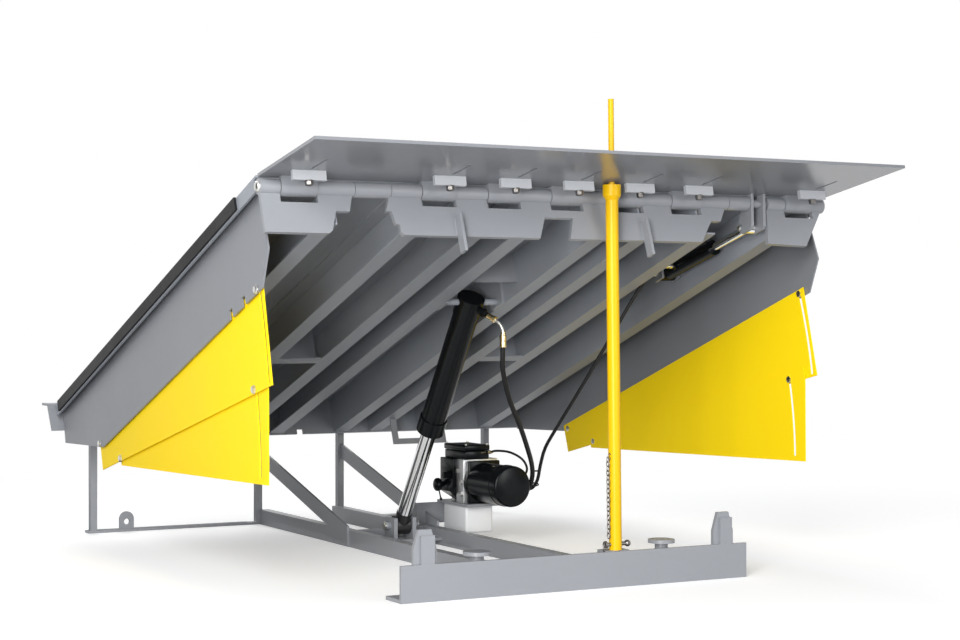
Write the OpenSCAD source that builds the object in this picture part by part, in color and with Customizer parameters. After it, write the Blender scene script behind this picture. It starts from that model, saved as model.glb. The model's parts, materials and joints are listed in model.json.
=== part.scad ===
// Hydraulic dock leveler, deck propped up for service, lip swung out.
// X runs across the deck, Y from the lip to the rear hinge, Z up. The origin lies on the floor,
// under the middle of the front angle.

/* [Deck] */
// Slope of the raised deck, degrees
deck_angle = 19.8; // [17:0.1:21]
// Distance from the rear hinge axis to the lip hinge axis
deck_length = 2320; // [2280:5:2360]
// Half the width of the deck plate
deck_half_w = 1072; // [1060:1:1090]
// Thickness of the deck plate
deck_plate_t = 8; // [5:0.5:10]
// Height of the deck's top over its two hinge axes
deck_rise = 39; // [36:0.5:44]
// Depth of a deck beam
beam_depth = 145; // [110:1:160]
// Width of a beam's flange
beam_flange = 62; // [45:1:70]
// Thickness of a beam's bent sheet
beam_t = 6; // [4:0.5:8]
// How far the deck plate reaches out over a side skirt
deck_overhang = 28; // [24:1:34]
// Thickness of a side skirt
skirt_t = 6; // [4:0.5:8]
// Depth of a side skirt below the deck plate
skirt_depth = 305; // [290:1:320]
// Depth of the bar along a deck edge
edge_bar_depth = 46; // [40:1:50]
// Thickness of a side seal
seal_t = 8; // [5:0.5:10]

/* [Lip] */
// Angle by which the lip hangs below the deck's slope, degrees
lip_drop = 9.7; // [8:0.1:11]
// Distance from the lip hinge axis to the lip's front edge
lip_length = 443; // [400:1:480]
// Thickness of the lip plate
lip_t = 10; // [8:0.5:10]
// Radius of the hinge tubes
tube_r = 25.5; // [23:0.5:28]
// Radius of the hinge pin
hinge_pin_r = 14; // [10:0.5:16]
// Width of a lip knuckle
knuckle_w = 119; // [100:1:130]
// Depth of the header plate below the hinge axis
header_depth = 150; // [130:1:165]

/* [Frame] */
// Height of the rear hinge axis above the floor
rear_hinge_z = 486; // [475:1:500]
// Half the length of the front angle
front_half_l = 650; // [630:1:680]
// Height of the front angle
front_h = 116; // [100:1:130]
// Depth of the front angle's flange
front_flange = 110; // [90:1:130]
// Thickness of the front angle
front_t = 12; // [8:0.5:14]
// Centre of a frame rail from the middle
rail_x = 168; // [160:1:180]
// Width of a frame rail
rail_w = 40; // [30:1:50]
// Height of a frame rail
rail_h = 63; // [55:1:70]
// Side of a rear post
post_w = 28; // [24:1:34]
// Centre of an outer rear post from the middle
post_outer_x = 910; // [880:1:930]
// Centre of an inner rear post from the middle
post_inner_x = 190; // [180:1:200]
// Height of the rear beam's web
rear_beam_h = 111; // [100:1:120]

/* [Toe guards] */
// Thickness of a guard panel
guard_t = 4; // [3:0.5:5]
// Gap between a skirt and its guard, and between two guards
guard_gap = 5; // [5:0.5:7]
// Travel of an upper guard, degrees
upper_travel = 9; // [7:0.5:9]
// Travel of a lower guard, degrees
lower_travel = 10.5; // [8:0.5:10.5]
// Radius of a guard bolt
guard_bolt_r = 6; // [5:0.5:7]

/* [Lift cylinder] */
// Radius of the lift cylinder's barrel
lift_barrel_r = 47; // [42:1:50]
// Radius of the lift cylinder's rod
lift_rod_r = 28; // [22:1:30]
// Radius of the lift cylinder's pins
lift_pin_r = 15; // [12:0.5:18]
// Distance from the foot pin to the barrel's gland
lift_gland_at = 450; // [420:1:480]

/* [Lip cylinder] */
// Radius of the lip cylinder's barrel
lip_barrel_r = 28; // [24:1:32]
// Radius of the lip cylinder's rod
lip_rod_r = 15; // [12:0.5:18]
// Centre of the lip cylinder from the deck's edge
lip_cyl_inset = 304; // [300:1:308]

/* [Service strut] */
// Place of the strut's foot across the deck
strut_x = 143; // [130:1:150]
// Lean of the strut towards the middle, degrees
strut_lean = 0.72; // [0:0.02:1]
// Radius of the strut's tube
strut_r = 21; // [18:0.5:23]
// Radius of the strut's collar
strut_collar_r = 30; // [26:0.5:34]
// Radius of the rod that passes through the lip
strut_rod_r = 9.5; // [8:0.5:10]
// Height of the rod's top above the lip's hinge axis
strut_rod_rise = 320; // [280:1:340]

/* [Power pack] */
// Radius of the pump's motor
motor_r = 82; // [75:1:84]
// Length of the pump's motor
motor_l = 250; // [230:1:260]
// Height of the motor's axis
motor_z = 237; // [230:1:240]
// Centre of the power pack from the middle
pump_x = 330; // [326:1:340]

/* [Hoses] */
// Radius of the lift hose
lift_hose_r = 9; // [8:0.5:9]
// Radius of the lip hose
lip_hose_r = 6.5; // [6:0.5:6.5]

/* [Hidden] */
$fn = 64;
// Clearance round a pin or shaft that turns
run = 0.1;
// Clearance between still pieces that pass through each other
fit = 0.4;
// Places on the deck are measured from the rear hinge axis, along the deck and square to it
front_y = -front_flange / 2;
front_reach = 62;
rear_hinge_y = front_reach + deck_length * cos(deck_angle);
lip_hinge_y = front_reach;
lip_hinge_z = rear_hinge_z + deck_length * sin(deck_angle);
lip_angle = deck_angle - lip_drop;
deck_under = deck_rise - deck_plate_t;
lip_under = deck_rise - lip_t;
rear_tube_r = 20;
rear_face_y = rear_hinge_y + rear_tube_r;
rear_beam_top = rear_hinge_z + 47;
rear_beam_z = rear_beam_top - rear_beam_h;
rear_beam_t = 10;
base_bar_t = 10;
base_bar_w = 50;
brace_t = 10;
brace_x = rail_x + rail_w / 2;
brace_top = 331;
brace_reach = 981;

// Beams, knuckles and openings along the hinge line
beam_x = [150, 315, 551, deck_half_w - 217];
beam_low = deck_under - beam_depth;
beam_back = -rear_tube_r - 10;
stiffener_y = -0.42 * deck_length;
knuckle_pitch = 235;
knuckle_end = deck_half_w - 126;
knuckle_x = [-knuckle_end, -2 * knuckle_pitch, -knuckle_pitch, 0,
    knuckle_pitch, 2 * knuckle_pitch, knuckle_end];
knuckle_r = tube_r + 3;
lip_cyl_x = deck_half_w - lip_cyl_inset;
window_w = knuckle_w + 4;
window_low = -tube_r - 25.5;
header_t = 16;
header_left = 1 - deck_half_w;
header_right = deck_half_w - 14;
bare_left = [-deck_half_w + 310, -636];
bare_right = [lip_cyl_x - 122, lip_cyl_x + 44];

// Skirt and guard corners on the deck
skirt_half_w = deck_half_w - deck_overhang;
skirt_low = deck_under - skirt_depth;
skirt_front = -deck_length + 62;
skirt_nose = [-deck_length + 52, skirt_low + 96];
skirt_chin = -deck_length + 138;
skirt_heel = -475;
skirt_rear = [3, -116];
skirt_notches = [-deck_length + 294, -deck_length + 410];
skirt_notch_w = 28;
skirt_notch_h = 30;
upper_pivot = [-443, skirt_low + 24];
upper_bolt = [-deck_length + 183, skirt_low + 12];
upper_r = norm(upper_bolt - upper_pivot);
upper_a = atan2(upper_pivot[1] - upper_bolt[1], upper_pivot[0] - upper_bolt[0]);
guard_corner = [-deck_length + 155, skirt_low + 26];
guard_toe = [-deck_length + 187, skirt_low - 294];
guard_heel = [-409, skirt_low - 71];
lower_pivot = [-636, skirt_low - 91];
lower_bolt = [-deck_length + 330, skirt_low - 262];
lower_corner = [-deck_length + 245, skirt_low - 290];
lower_toe = [-deck_length + 341, skirt_low - 565];
lower_r = norm(lower_bolt - lower_pivot);
lower_a = atan2(lower_pivot[1] - lower_bolt[1], lower_pivot[0] - lower_bolt[0]);
slot_clear = 1;
slot_spare = 0.8;
upper_x = skirt_half_w - skirt_t - guard_gap;
lower_x = upper_x - guard_t - guard_gap;

// Lift cylinder
lift_foot = [1282, 82];
lift_head = [-deck_length + 730, -96];
lift_head_y = rear_hinge_y + lift_head[0] * cos(deck_angle) + lift_head[1] * sin(deck_angle);
lift_head_z = rear_hinge_z - lift_head[0] * sin(deck_angle) + lift_head[1] * cos(deck_angle);
lift_tilt = atan2(lift_foot[0] - lift_head_y, lift_head_z - lift_foot[1]);
lift_l = norm([lift_foot[0] - lift_head_y, lift_head_z - lift_foot[1]]);
lift_eye_t = 60;
lift_head_r = lift_barrel_r + 3;
head_pin_r = 12;
bracket_x = beam_x[0] - beam_flange / 2;
bracket_t = 12;
clevis_gap = 2;
clevis_t = 15;

// The lift cylinder's port points forwards and to the right of the barrel, just below the head's pin
lift_port_at = lift_l - 10;
lift_port_turn = -59.4;
lift_boss_l = 62;
lift_elbow_l = 153;
lift_elbow_y = lift_elbow_l * sin(lift_port_turn);
lift_elbow = [lift_elbow_l * cos(lift_port_turn),
    lift_foot[0] + lift_elbow_y * cos(lift_tilt) - lift_port_at * sin(lift_tilt),
    lift_foot[1] + lift_elbow_y * sin(lift_tilt) + lift_port_at * cos(lift_tilt)];

// Lip cylinder
lip_base = [-deck_length + 587, -34];
lip_eye = [46, -75];
lip_base_y = rear_hinge_y + lip_base[0] * cos(deck_angle) + lip_base[1] * sin(deck_angle);
lip_base_z = rear_hinge_z - lip_base[0] * sin(deck_angle) + lip_base[1] * cos(deck_angle);
lip_eye_y = lip_hinge_y + lip_eye[0] * cos(lip_angle) + lip_eye[1] * sin(lip_angle);
lip_eye_z = lip_hinge_z - lip_eye[0] * sin(lip_angle) + lip_eye[1] * cos(lip_angle);
lip_cyl_l = norm([lip_base_y - lip_eye_y, lip_eye_z - lip_base_z]);
lip_cyl_tilt = atan2(lip_base_y - lip_eye_y, lip_eye_z - lip_base_z);
lip_port_at = 95;
lip_port = [lip_cyl_x - lip_barrel_r - 24,
    lip_base_y - lip_port_at * sin(lip_cyl_tilt),
    lip_base_z + lip_port_at * cos(lip_cyl_tilt)];
lip_ear_gap = 2 * lip_barrel_r + 4;
lip_ear_t = 10;
lip_pin_r = 8;
lug_t = 11;
lug_gap = 40;

// Service strut
strut_y = -28;
strut_lip_z = lip_hinge_z + lip_under / cos(lip_angle) + (lip_hinge_y - strut_y) * tan(lip_angle);
strut_top = strut_lip_z - strut_collar_r * tan(lip_angle) - fit;
strut_foot = front_h + 2;
strut_l = (strut_top - strut_foot) / cos(strut_lean);
strut_bore_r = 15;
strut_bore_l = 60;
strut_pin_at = 19;
strut_pin_r = 6.6;
socket_w = 90;
socket_depth = 56;
socket_t = 12;

// Power pack
pump_front = 987;
pump_rear = pump_front + motor_l;
shelf_z = 145;
shelf_t = 10;
manifold_top = motor_z + motor_r + 8;

// Hose routes to the power pack, as shares of the way across, along and down between the two ends
hose_gap = 0.6;
lift_hose_start = lift_elbow - [0, 0, 55];
lift_hose_end = [pump_x + 96, pump_rear - 17, shelf_z + 52];
lift_hose_shares = [[0, 0, 0], [0, 0, 0.07], [0, 0.02, 0.15], [0.14, 0.09, 0.32], [0.44, 0.24, 0.53],
    [0.7, 0.41, 0.69], [0.88, 0.55, 0.79], [1, 0.64, 0.88], [1, 0.68, 0.96], [1, 0.77, 1], [1, 0.88, 1],
    [1, 1, 1]];
lip_hose_start = lip_port;
lip_hose_end = [pump_x + 114, pump_rear - 17, shelf_z + 71];
lip_hose_shares = [[0, 0, 0], [0.05, 0, 0], [0.1, 0, 0], [0.4, 0.02, 0.1], [0.64, 0.09, 0.26],
    [0.75, 0.17, 0.38], [0.95, 0.33, 0.58], [1.05, 0.52, 0.74], [1.03, 0.63, 0.82], [1, 0.69, 0.92],
    [1, 0.73, 0.98], [1, 0.81, 1], [1, 0.9, 1], [1, 1, 1]];
port_y = lift_hose_end[1] + hose_gap;

paint = [0.61, 0.62, 0.65];
shade = [0.50, 0.51, 0.54];
yellow = [0.98, 0.84, 0.10];
black = [0.09, 0.09, 0.10];
steel = [0.80, 0.81, 0.82];
pale = [0.86, 0.87, 0.89];

// Frames of the deck, the lip and the two cylinders

module on_deck() translate([0, rear_hinge_y, rear_hinge_z]) rotate([-deck_angle, 0, 0]) children();

module on_lip() on_deck() translate([0, -deck_length, 0]) rotate([lip_drop, 0, 0]) children();

module on_lift() translate([0, lift_foot[0], lift_foot[1]]) rotate([lift_tilt, 0, 0]) children();

module on_lip_cyl() {
    translate([lip_cyl_x, lip_base_y, lip_base_z]) rotate([lip_cyl_tilt, 0, 0]) children();
}

module on_strut() translate([strut_x, strut_y, strut_foot]) rotate([0, -strut_lean, 0]) children();

// A plate cut from an outline in the Y-Z plane, from x0 to x0 + t
module side_plate(x0, t) {
    translate([x0, 0, 0]) rotate([90, 0, 90]) linear_extrude(t) children();
}

// A plate cut from an outline in the X-Z plane, from y0 to y0 + t
module cross_plate(y0, t) {
    translate([0, y0 + t, 0]) rotate([90, 0, 0]) linear_extrude(t) children();
}

// A round bar along X, from x0 to x1
module x_bar(x0, x1, r) {
    translate([x0, 0, 0]) rotate([0, 90, 0]) cylinder(r = r, h = x1 - x0);
}

function unit(v) = v / norm(v);

function polar(a) = [cos(a), sin(a)];

// A point on the smooth curve through the route p, a share t of the way from point i to the next
function curve_point(p, i, t) =
    let (a = p[max(i - 1, 0)], b = p[i], c = p[i + 1], d = p[min(i + 2, len(p) - 1)])
    0.5 * (2 * b + (c - a) * t + (2 * a - 5 * b + 4 * c - d) * t * t + (3 * b - a - 3 * c + d) * t * t * t);

function smooth_route(p, n) = [
    for (i = [0:len(p) - 2]) for (k = [0:n - 1]) curve_point(p, i, k / n),
    p[len(p) - 1]];

function along(a, b, share) = [for (k = [0:2]) a[k] + share[k] * (b[k] - a[k])];

function ring(p, i, r, sides) =
    let (
        d = unit(p[min(i + 1, len(p) - 1)] - p[max(i - 1, 0)]),
        u = unit(cross(d, [1, 1, 1])),
        v = cross(d, u))
    [for (k = [0:sides - 1]) p[i] + r * (cos(360 * k / sides) * u + sin(360 * k / sides) * v)];

// A hose swept from a to b along a route given in shares
module hose(a, b, shares, r, steps) {
    sides = 8;
    p = smooth_route([for (s = shares) along(a, b, s)], steps);
    n = len(p);
    polyhedron(
        points = [for (i = [0:n - 1]) each ring(p, i, r, sides)],
        faces = [
            [for (k = [0:sides - 1]) k],
            [for (k = [sides - 1:-1:0]) (n - 1) * sides + k],
            for (i = [0:n - 2]) for (k = [0:sides - 1])
                let (a = i * sides + k, b = i * sides + (k + 1) % sides)
                each [[a, a + sides, b + sides], [a, b + sides, b]]]);
}

module both_sides() {
    children();
    mirror([1, 0, 0]) children();
}

// Frame

module front_angle() {
    color(paint)
    side_plate(-front_half_l, 2 * front_half_l)
    translate([front_y, 0]) {
        square([front_t, front_h]);
        square([front_flange, front_t]);
    }
}

module lip_keeper(x) {
    back_y = front_y + front_t;
    translate([x, back_y, front_t]) rotate([90, 0, 0]) mirror([0, 0, 1])
        linear_extrude(14) polygon([[-40, 0], [40, 0], [40, 150], [22, 211], [-22, 211], [-40, 150]]);
    translate([x - 18, front_y + 2, front_h]) cube([48, front_t - 2, 89]);
}

module lip_keepers() {
    keeper_x = front_half_l - 88;
    color(paint)
    for (x = [-keeper_x, keeper_x]) lip_keeper(x);
}

module bumper_stands() {
    stand_x = front_half_l - 300;
    stand_y = 13;
    stem_r = 22;
    cap_r = 45;
    cap_z = front_h + 10;
    cap_t = 12;
    color(shade)
    for (x = [-stand_x, stand_x]) translate([x, stand_y, 0]) {
        translate([0, 0, front_t]) cylinder(r = stem_r, h = cap_z - front_t);
        translate([0, 0, cap_z]) cylinder(r = cap_r, h = cap_t);
    }
}

module frame_rail() {
    start = front_y + front_flange;
    translate([rail_x - rail_w / 2, start, 0]) difference() {
        cube([rail_w, rear_face_y - start, rail_h]);
        translate([6, -1, 6]) cube([rail_w - 12, rear_face_y - start + 2, rail_h - 12]);
    }
}

module frame_rail_left() color(paint) mirror([1, 0, 0]) frame_rail();

module frame_rail_right() color(paint) frame_rail();

// A flat brace from a rear post, whose foot lies on the outer side of a rail
module frame_brace() {
    brace_low = 271;
    toe_cut = 60;
    toe = rear_face_y - brace_reach + toe_cut;
    toe_z = rail_h + (brace_top - rail_h) * toe_cut / brace_reach;
    heel = toe + 170;
    foot_z = 6;
    side_plate(brace_x, brace_t) polygon([
        [toe, foot_z], [toe, toe_z], [rear_face_y, brace_top],
        [rear_face_y, brace_low], [heel, rail_h], [heel, foot_z]]);
}

module frame_brace_left() color(shade) mirror([1, 0, 0]) frame_brace();

module frame_brace_right() color(shade) frame_brace();

module rear_posts() {
    color(paint)
    for (x = [-post_outer_x, -post_inner_x, post_inner_x, post_outer_x])
        translate([x - post_w / 2, rear_face_y, base_bar_t]) cube([post_w, post_w, rear_beam_z - base_bar_t]);
}

module rear_base_bars() {
    inner = post_inner_x - 36;
    color(paint)
    both_sides()
        translate([inner, rear_face_y, 0]) cube([post_outer_x + 23 - inner, base_bar_w, base_bar_t]);
}

module lifting_eyes() {
    eye_x = 769;
    r = 30;
    hole_r = 12;
    color(shade)
    both_sides()
    translate([eye_x, rear_face_y + 8, base_bar_t]) rotate([90, 0, 0]) translate([0, 0, -12])
    linear_extrude(12) difference() {
        union() {
            translate([0, 42]) circle(r);
            translate([-r, 0]) square([2 * r, 42]);
        }
        translate([0, 30]) circle(hole_r);
    }
}

module rear_hinge_beam() {
    half = deck_half_w + 30;
    low_half = half - 19;
    color(shade) {
        cross_plate(rear_face_y, rear_beam_t) polygon([
            [-low_half, rear_beam_z], [low_half, rear_beam_z],
            [half, rear_beam_top], [-half, rear_beam_top]]);
        translate([-half, rear_face_y + rear_beam_t, rear_beam_top - rear_beam_t])
            cube([2 * half, 70, rear_beam_t]);
    }
}

module cylinder_clevis() {
    span = rail_x - rail_w / 2;
    ear_x = lift_eye_t / 2 + clevis_gap;
    plate_z = 20;
    plate_t = 12;
    color(shade) {
        translate([-span, lift_foot[0] - 60, plate_z]) cube([2 * span, 120, plate_t]);
        translate([-span, lift_foot[0] + 100, plate_z]) cube([2 * span, 8, 40]);
    }
    color(steel)
    both_sides()
    difference() {
        translate([ear_x, lift_foot[0] - 40, plate_z + plate_t]) cube([clevis_t, 80, 80]);
        translate([0, lift_foot[0], lift_foot[1]]) x_bar(0, 200, lift_pin_r + run);
    }
}

// Service strut

// Base plate behind the front angle, on a rib, with a stub that enters the tube
module strut_socket() {
    back_y = front_y + front_t;
    rib_t = 12;
    color(paint) {
        translate([strut_x - socket_w / 2, back_y, strut_foot - socket_t])
            cube([socket_w, socket_depth, socket_t]);
        translate([strut_x - rib_t / 2, back_y, front_t])
            cube([rib_t, socket_depth, strut_foot - socket_t - front_t]);
        on_strut() difference() {
            translate([0, 0, -1]) cylinder(r = strut_bore_r - fit, h = strut_bore_l - 10);
            translate([0, 0, strut_pin_at]) x_bar(-50, 50, strut_pin_r + fit);
        }
    }
}

module strut_tube() {
    cone_h = 14;
    collar_h = 36;
    color(yellow)
    on_strut() difference() {
        union() {
            translate([0, 0, fit]) cylinder(r = strut_r, h = strut_l - collar_h - cone_h - fit);
            translate([0, 0, strut_l - collar_h - cone_h])
                cylinder(r1 = strut_r, r2 = strut_collar_r, h = cone_h);
            translate([0, 0, strut_l - collar_h]) cylinder(r = strut_collar_r, h = collar_h);
        }
        translate([0, 0, -1]) cylinder(r = strut_bore_r, h = strut_bore_l);
        translate([0, 0, strut_l - 120]) cylinder(r = strut_rod_r + fit, h = 200);
        translate([0, 0, strut_pin_at]) x_bar(-100, 100, strut_pin_r + fit);
    }
}

module strut_rod() {
    color(yellow)
    on_strut() translate([0, 0, strut_l - 120])
        cylinder(r = strut_rod_r, h = lip_hinge_z + strut_rod_rise - strut_top + 120);
}

// Pull pin with a ball at one end and a washer at the other
module strut_pin() {
    color(steel)
    on_strut() translate([0, 0, strut_pin_at]) {
        x_bar(-36, 42, strut_pin_r);
        x_bar(-42, -36, 12);
        translate([46, 0, 0]) sphere(11);
    }
}

// Power pack

// An arm on the right rail, notched over the brace, with a shelf on it
module pump_bracket() {
    arm_y = 1440;
    arm_t = 12;
    arm_x = rail_x - rail_w / 2;
    notch_x = brace_x;
    along = (arm_y + arm_t - rear_face_y + brace_reach) / brace_reach;
    notch_h = along * (brace_top - rail_h) + 1;
    color(shade) {
        difference() {
            translate([arm_x, arm_y, rail_h]) cube([pump_x + 70 - arm_x, arm_t, shelf_z - rail_h]);
            translate([notch_x - fit, arm_y - 1, rail_h - 1])
                cube([brace_t + 2 * fit, arm_t + 2, notch_h + 1]);
        }
        translate([pump_x - 85, pump_rear - 40, shelf_z])
            cube([150, arm_y + arm_t - pump_rear + 40, shelf_t]);
    }
}

module pump_motor() {
    color(black)
    translate([pump_x, pump_rear, motor_z]) rotate([90, 0, 0]) {
        cylinder(r = motor_r - 4, h = motor_l - 20);
        translate([0, 0, motor_l - 20]) cylinder(r = motor_r, h = 20);
    }
}

module pump_manifold() {
    color(pale)
    translate([pump_x - 80, pump_rear, shelf_z + shelf_t])
        cube([150, 60, manifold_top - shelf_z - shelf_t]);
}

module control_box() {
    color(black)
    translate([pump_x - 85, pump_rear - 22, manifold_top]) cube([110, 180, 56]);
}

module pump_valve() {
    color(black) {
        translate([pump_x - 95, pump_rear + 60, shelf_z + shelf_t]) cube([90, 110, 160]);
        translate([pump_x - 95, pump_rear + 150, shelf_z + 75]) x_bar(-35, 0, 26);
    }
}

module pump_tank() {
    color(pale)
    translate([pump_x - 75, pump_rear - 10, 40]) cube([120, 190, shelf_z - 40]);
}

// Elbows on the side of the manifold that the two hoses screw onto
module pump_ports() {
    face_x = pump_x + 70;
    color(steel)
    for (end = [lift_hose_end, lip_hose_end]) {
        translate([face_x, pump_rear + 5, end[2] - 12]) cube([end[0] + 12 - face_x, 30, 24]);
        translate([end[0], port_y, end[2]]) rotate([-90, 0, 0])
            cylinder(r = 9, h = pump_rear + 5 - port_y);
    }
}

// Lift cylinder

// Barrel with a flat round cap that takes the pin
module lift_barrel() {
    cap_l = 72;
    cap_past_pin = 20;
    color(black)
    on_lift() difference() {
        union() {
            translate([0, 0, lift_gland_at]) cylinder(r = lift_barrel_r, h = lift_l - lift_gland_at);
            translate([0, 0, lift_gland_at]) cylinder(r = lift_barrel_r + 5, h = 60);
            translate([0, 0, lift_l + cap_past_pin - cap_l]) cylinder(r = lift_head_r, h = cap_l);
            translate([0, 0, lift_port_at]) rotate([0, 0, lift_port_turn]) x_bar(0, lift_boss_l, 14);
        }
        translate([0, 0, lift_l]) x_bar(-100, 100, head_pin_r + run);
        translate([0, 0, lift_gland_at - 1]) cylinder(r = lift_rod_r + fit, h = 121);
    }
}

module lift_rod() {
    eye_r = 36;
    color(steel)
    on_lift() difference() {
        union() {
            translate([0, 0, 20]) cylinder(r = lift_rod_r, h = lift_gland_at + 80);
            cylinder(r = lift_eye_t / 2, h = 60);
            x_bar(-lift_eye_t / 2, lift_eye_t / 2, eye_r);
        }
        x_bar(-lift_eye_t, lift_eye_t, lift_pin_r + run);
    }
}

module lift_pins() {
    foot_half = lift_eye_t / 2 + clevis_gap + clevis_t + 18;
    head_half = bracket_x - fit;
    eye_half = lug_gap / 2 + lug_t + 6;
    base_half = lip_ear_gap / 2 + lip_ear_t + 6;
    color(steel) {
        on_lift() x_bar(-foot_half, foot_half, lift_pin_r);
        on_lift() translate([0, 0, lift_l]) x_bar(-head_half, head_half, head_pin_r);
        translate([lip_cyl_x, lip_eye_y, lip_eye_z]) x_bar(-eye_half, eye_half, lip_pin_r);
        on_deck() translate([lip_cyl_x, lip_base[0], lip_base[1]]) x_bar(-base_half, base_half, lip_pin_r);
    }
}

// Brass elbow from the barrel's port down to the lift hose
module lift_fitting() {
    down = lift_elbow[2] - lift_hose_start[2] - hose_gap;
    color([0.78, 0.62, 0.30]) {
        on_lift() translate([0, 0, lift_port_at]) rotate([0, 0, lift_port_turn])
            x_bar(lift_boss_l, lift_elbow_l, 8);
        translate(lift_elbow) sphere(11);
        translate([lift_elbow[0], lift_elbow[1], lift_elbow[2] - down]) cylinder(r = 10, h = down);
    }
}

module lift_hose() {
    color(black)
    hose(lift_hose_start, lift_hose_end, lift_hose_shares, lift_hose_r, 2);
}

module lip_fitting() {
    color(steel)
    translate([0, lip_port[1], lip_port[2]])
        x_bar(lip_port[0] + hose_gap, lip_cyl_x - lip_barrel_r - 6, 9);
}

module lip_hose() {
    color(black)
    hose(lip_hose_start, lip_hose_end, lip_hose_shares, lip_hose_r, 3);
}

// Deck

// Plate with a bar under each side edge
module deck_plate() {
    bar_t = 8;
    bar_front = -deck_length + tube_r + 1;
    color(shade)
    on_deck() {
        translate([-deck_half_w, -deck_length + 4, deck_under])
            cube([2 * deck_half_w, deck_length - 4, deck_plate_t]);
        both_sides() translate([deck_half_w - bar_t, bar_front, deck_rise - edge_bar_depth])
            cube([bar_t, -bar_front - 8, edge_bar_depth - deck_plate_t]);
    }
}

module deck_beam(x, turn) {
    front = -deck_length + header_t / 2;
    translate([x, beam_back, deck_under]) rotate([90, 0, 0]) linear_extrude(beam_back - front)
    scale([turn, 1]) translate([-beam_flange / 2, -beam_depth]) {
        square([beam_t, beam_depth]);
        square([beam_flange, beam_t]);
        translate([0, beam_depth - beam_t]) square([beam_flange, beam_t]);
    }
}

module deck_beams() {
    color(shade)
    on_deck() difference() {
        for (x = beam_x) {
            deck_beam(x, 1);
            deck_beam(-x, -1);
        }
        translate([0, -deck_length, 0]) x_bar(-deck_half_w, deck_half_w, knuckle_r + fit);
    }
}

// Cross angles between the second and third beam of each side
module deck_stiffeners() {
    x0 = beam_x[1] + beam_flange / 2;
    x1 = beam_x[2] - beam_flange / 2;
    flange = 50;
    color(shade)
    on_deck() both_sides() translate([x0, stiffener_y, beam_low]) {
        cube([x1 - x0, beam_t, beam_depth]);
        translate([0, beam_t - flange, 0]) cube([x1 - x0, flange, beam_t]);
    }
}

// Plate that closes the beams' rear ends, notched in its lower edge
module deck_rear_plate() {
    half = skirt_half_w - skirt_t;
    low = -118;
    notch_x = -38;
    notch_w = 28;
    notch_h = 21;
    color(shade)
    on_deck() cross_plate(beam_back, -rear_tube_r - beam_back) difference() {
        translate([-half, low]) square([2 * half, deck_under - low]);
        translate([notch_x - notch_w / 2, low - 1]) square([notch_w, notch_h + 1]);
    }
}

// Loop that hangs from two beams
module hose_strap() {
    strap_y = -0.086 * deck_length;
    strap_t = 8;
    leg_w = 26;
    left = beam_x[1] - 5;
    right = beam_x[2] + 10;
    low = beam_low - 110;
    color(shade)
    on_deck() cross_plate(strap_y, strap_t) difference() {
        translate([left, low]) square([right - left, beam_low - low]);
        translate([left + leg_w, low + 23]) square([right - left - 2 * leg_w, beam_low - low]);
    }
}

// Ears inside the two middle beams with a cross plate before them, and two ears for the lip cylinder
module cylinder_brackets() {
    plate_low = -75;
    plate_t = 10;
    plate_y = lift_head[0] - 152;
    color(shade)
    on_deck() {
        both_sides() difference() {
            side_plate(bracket_x - bracket_t, bracket_t) polygon([
                [lift_head[0] - 60, deck_under], [lift_head[0] + 90, deck_under],
                [lift_head[0] + 40, beam_low], [lift_head[0] - 40, beam_low]]);
            translate([0, lift_head[0], lift_head[1]]) x_bar(0, 200, head_pin_r + run);
        }
        cross_plate(plate_y, plate_t) translate([-bracket_x, plate_low])
            square([2 * bracket_x, deck_under - plate_low]);
        for (x = [lip_cyl_x - lip_ear_gap / 2 - lip_ear_t, lip_cyl_x + lip_ear_gap / 2]) difference() {
            side_plate(x, lip_ear_t) polygon([
                [lip_base[0] - 45, deck_under], [lip_base[0] + 60, deck_under],
                [lip_base[0] + 25, lip_base[1] - 25], [lip_base[0] - 25, lip_base[1] - 25]]);
            translate([0, lip_base[0], lip_base[1]]) x_bar(x - 50, x + 50, lip_pin_r + run);
        }
    }
}

// The header plate is cut in three stretches, with steps and a notch in its lower edge
module header_outlines() {
    low = -header_depth;
    polygon([
        [header_left, 0], [header_left, low], [bare_left[0] - 100, low], [bare_left[0] - 88, low + 10],
        [bare_left[0] - 68, -76], [bare_left[0] - 22, -76], [bare_left[0], 0]]);
    polygon([
        [bare_left[1], 0], [-660, -72], [-641, -72], [-632, -115], [-620, -115], [-620, low + 10],
        [-608, low], [-122, low], [-92, -77], [15, -77], [-9, low], [bare_right[0] - 135, low],
        [bare_right[0] - 101, -100], [bare_right[0] - 79, -72], [bare_right[0] - 41, -72],
        [bare_right[0], 0]]);
    polygon([
        [bare_right[1], 0], [bare_right[1] - 10, -80], [bare_right[1] - 27, low],
        [header_right - 108, low - 6], [header_right - 13, -25], [header_right, 0]]);
}

module header_plate() {
    color(paint)
    on_deck() translate([0, -deck_length, 0]) difference() {
        cross_plate(-header_t / 2, header_t) header_outlines();
        x_bar(-deck_half_w, deck_half_w, tube_r + run);
        for (x = knuckle_x) translate([x - window_w / 2, -50, window_low]) cube([window_w, 100, 200]);
    }
}

// Two legs that stand out from the header
module stop_legs() {
    leg_t = 10;
    reach = 34;
    top = -85;
    low = -210;
    color(paint)
    on_deck() for (x = [-424, 275])
        translate([x, -deck_length - header_t / 2 - reach, low]) cube([leg_t, reach, top - low]);
}

// Hinge tubes lie between the knuckles, and two sleeves cover the pin where no header plate hangs
module header_tube(x0, x1) {
    difference() {
        x_bar(x0, x1, tube_r);
        x_bar(x0 - 1, x1 + 1, hinge_pin_r + fit);
    }
}

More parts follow.
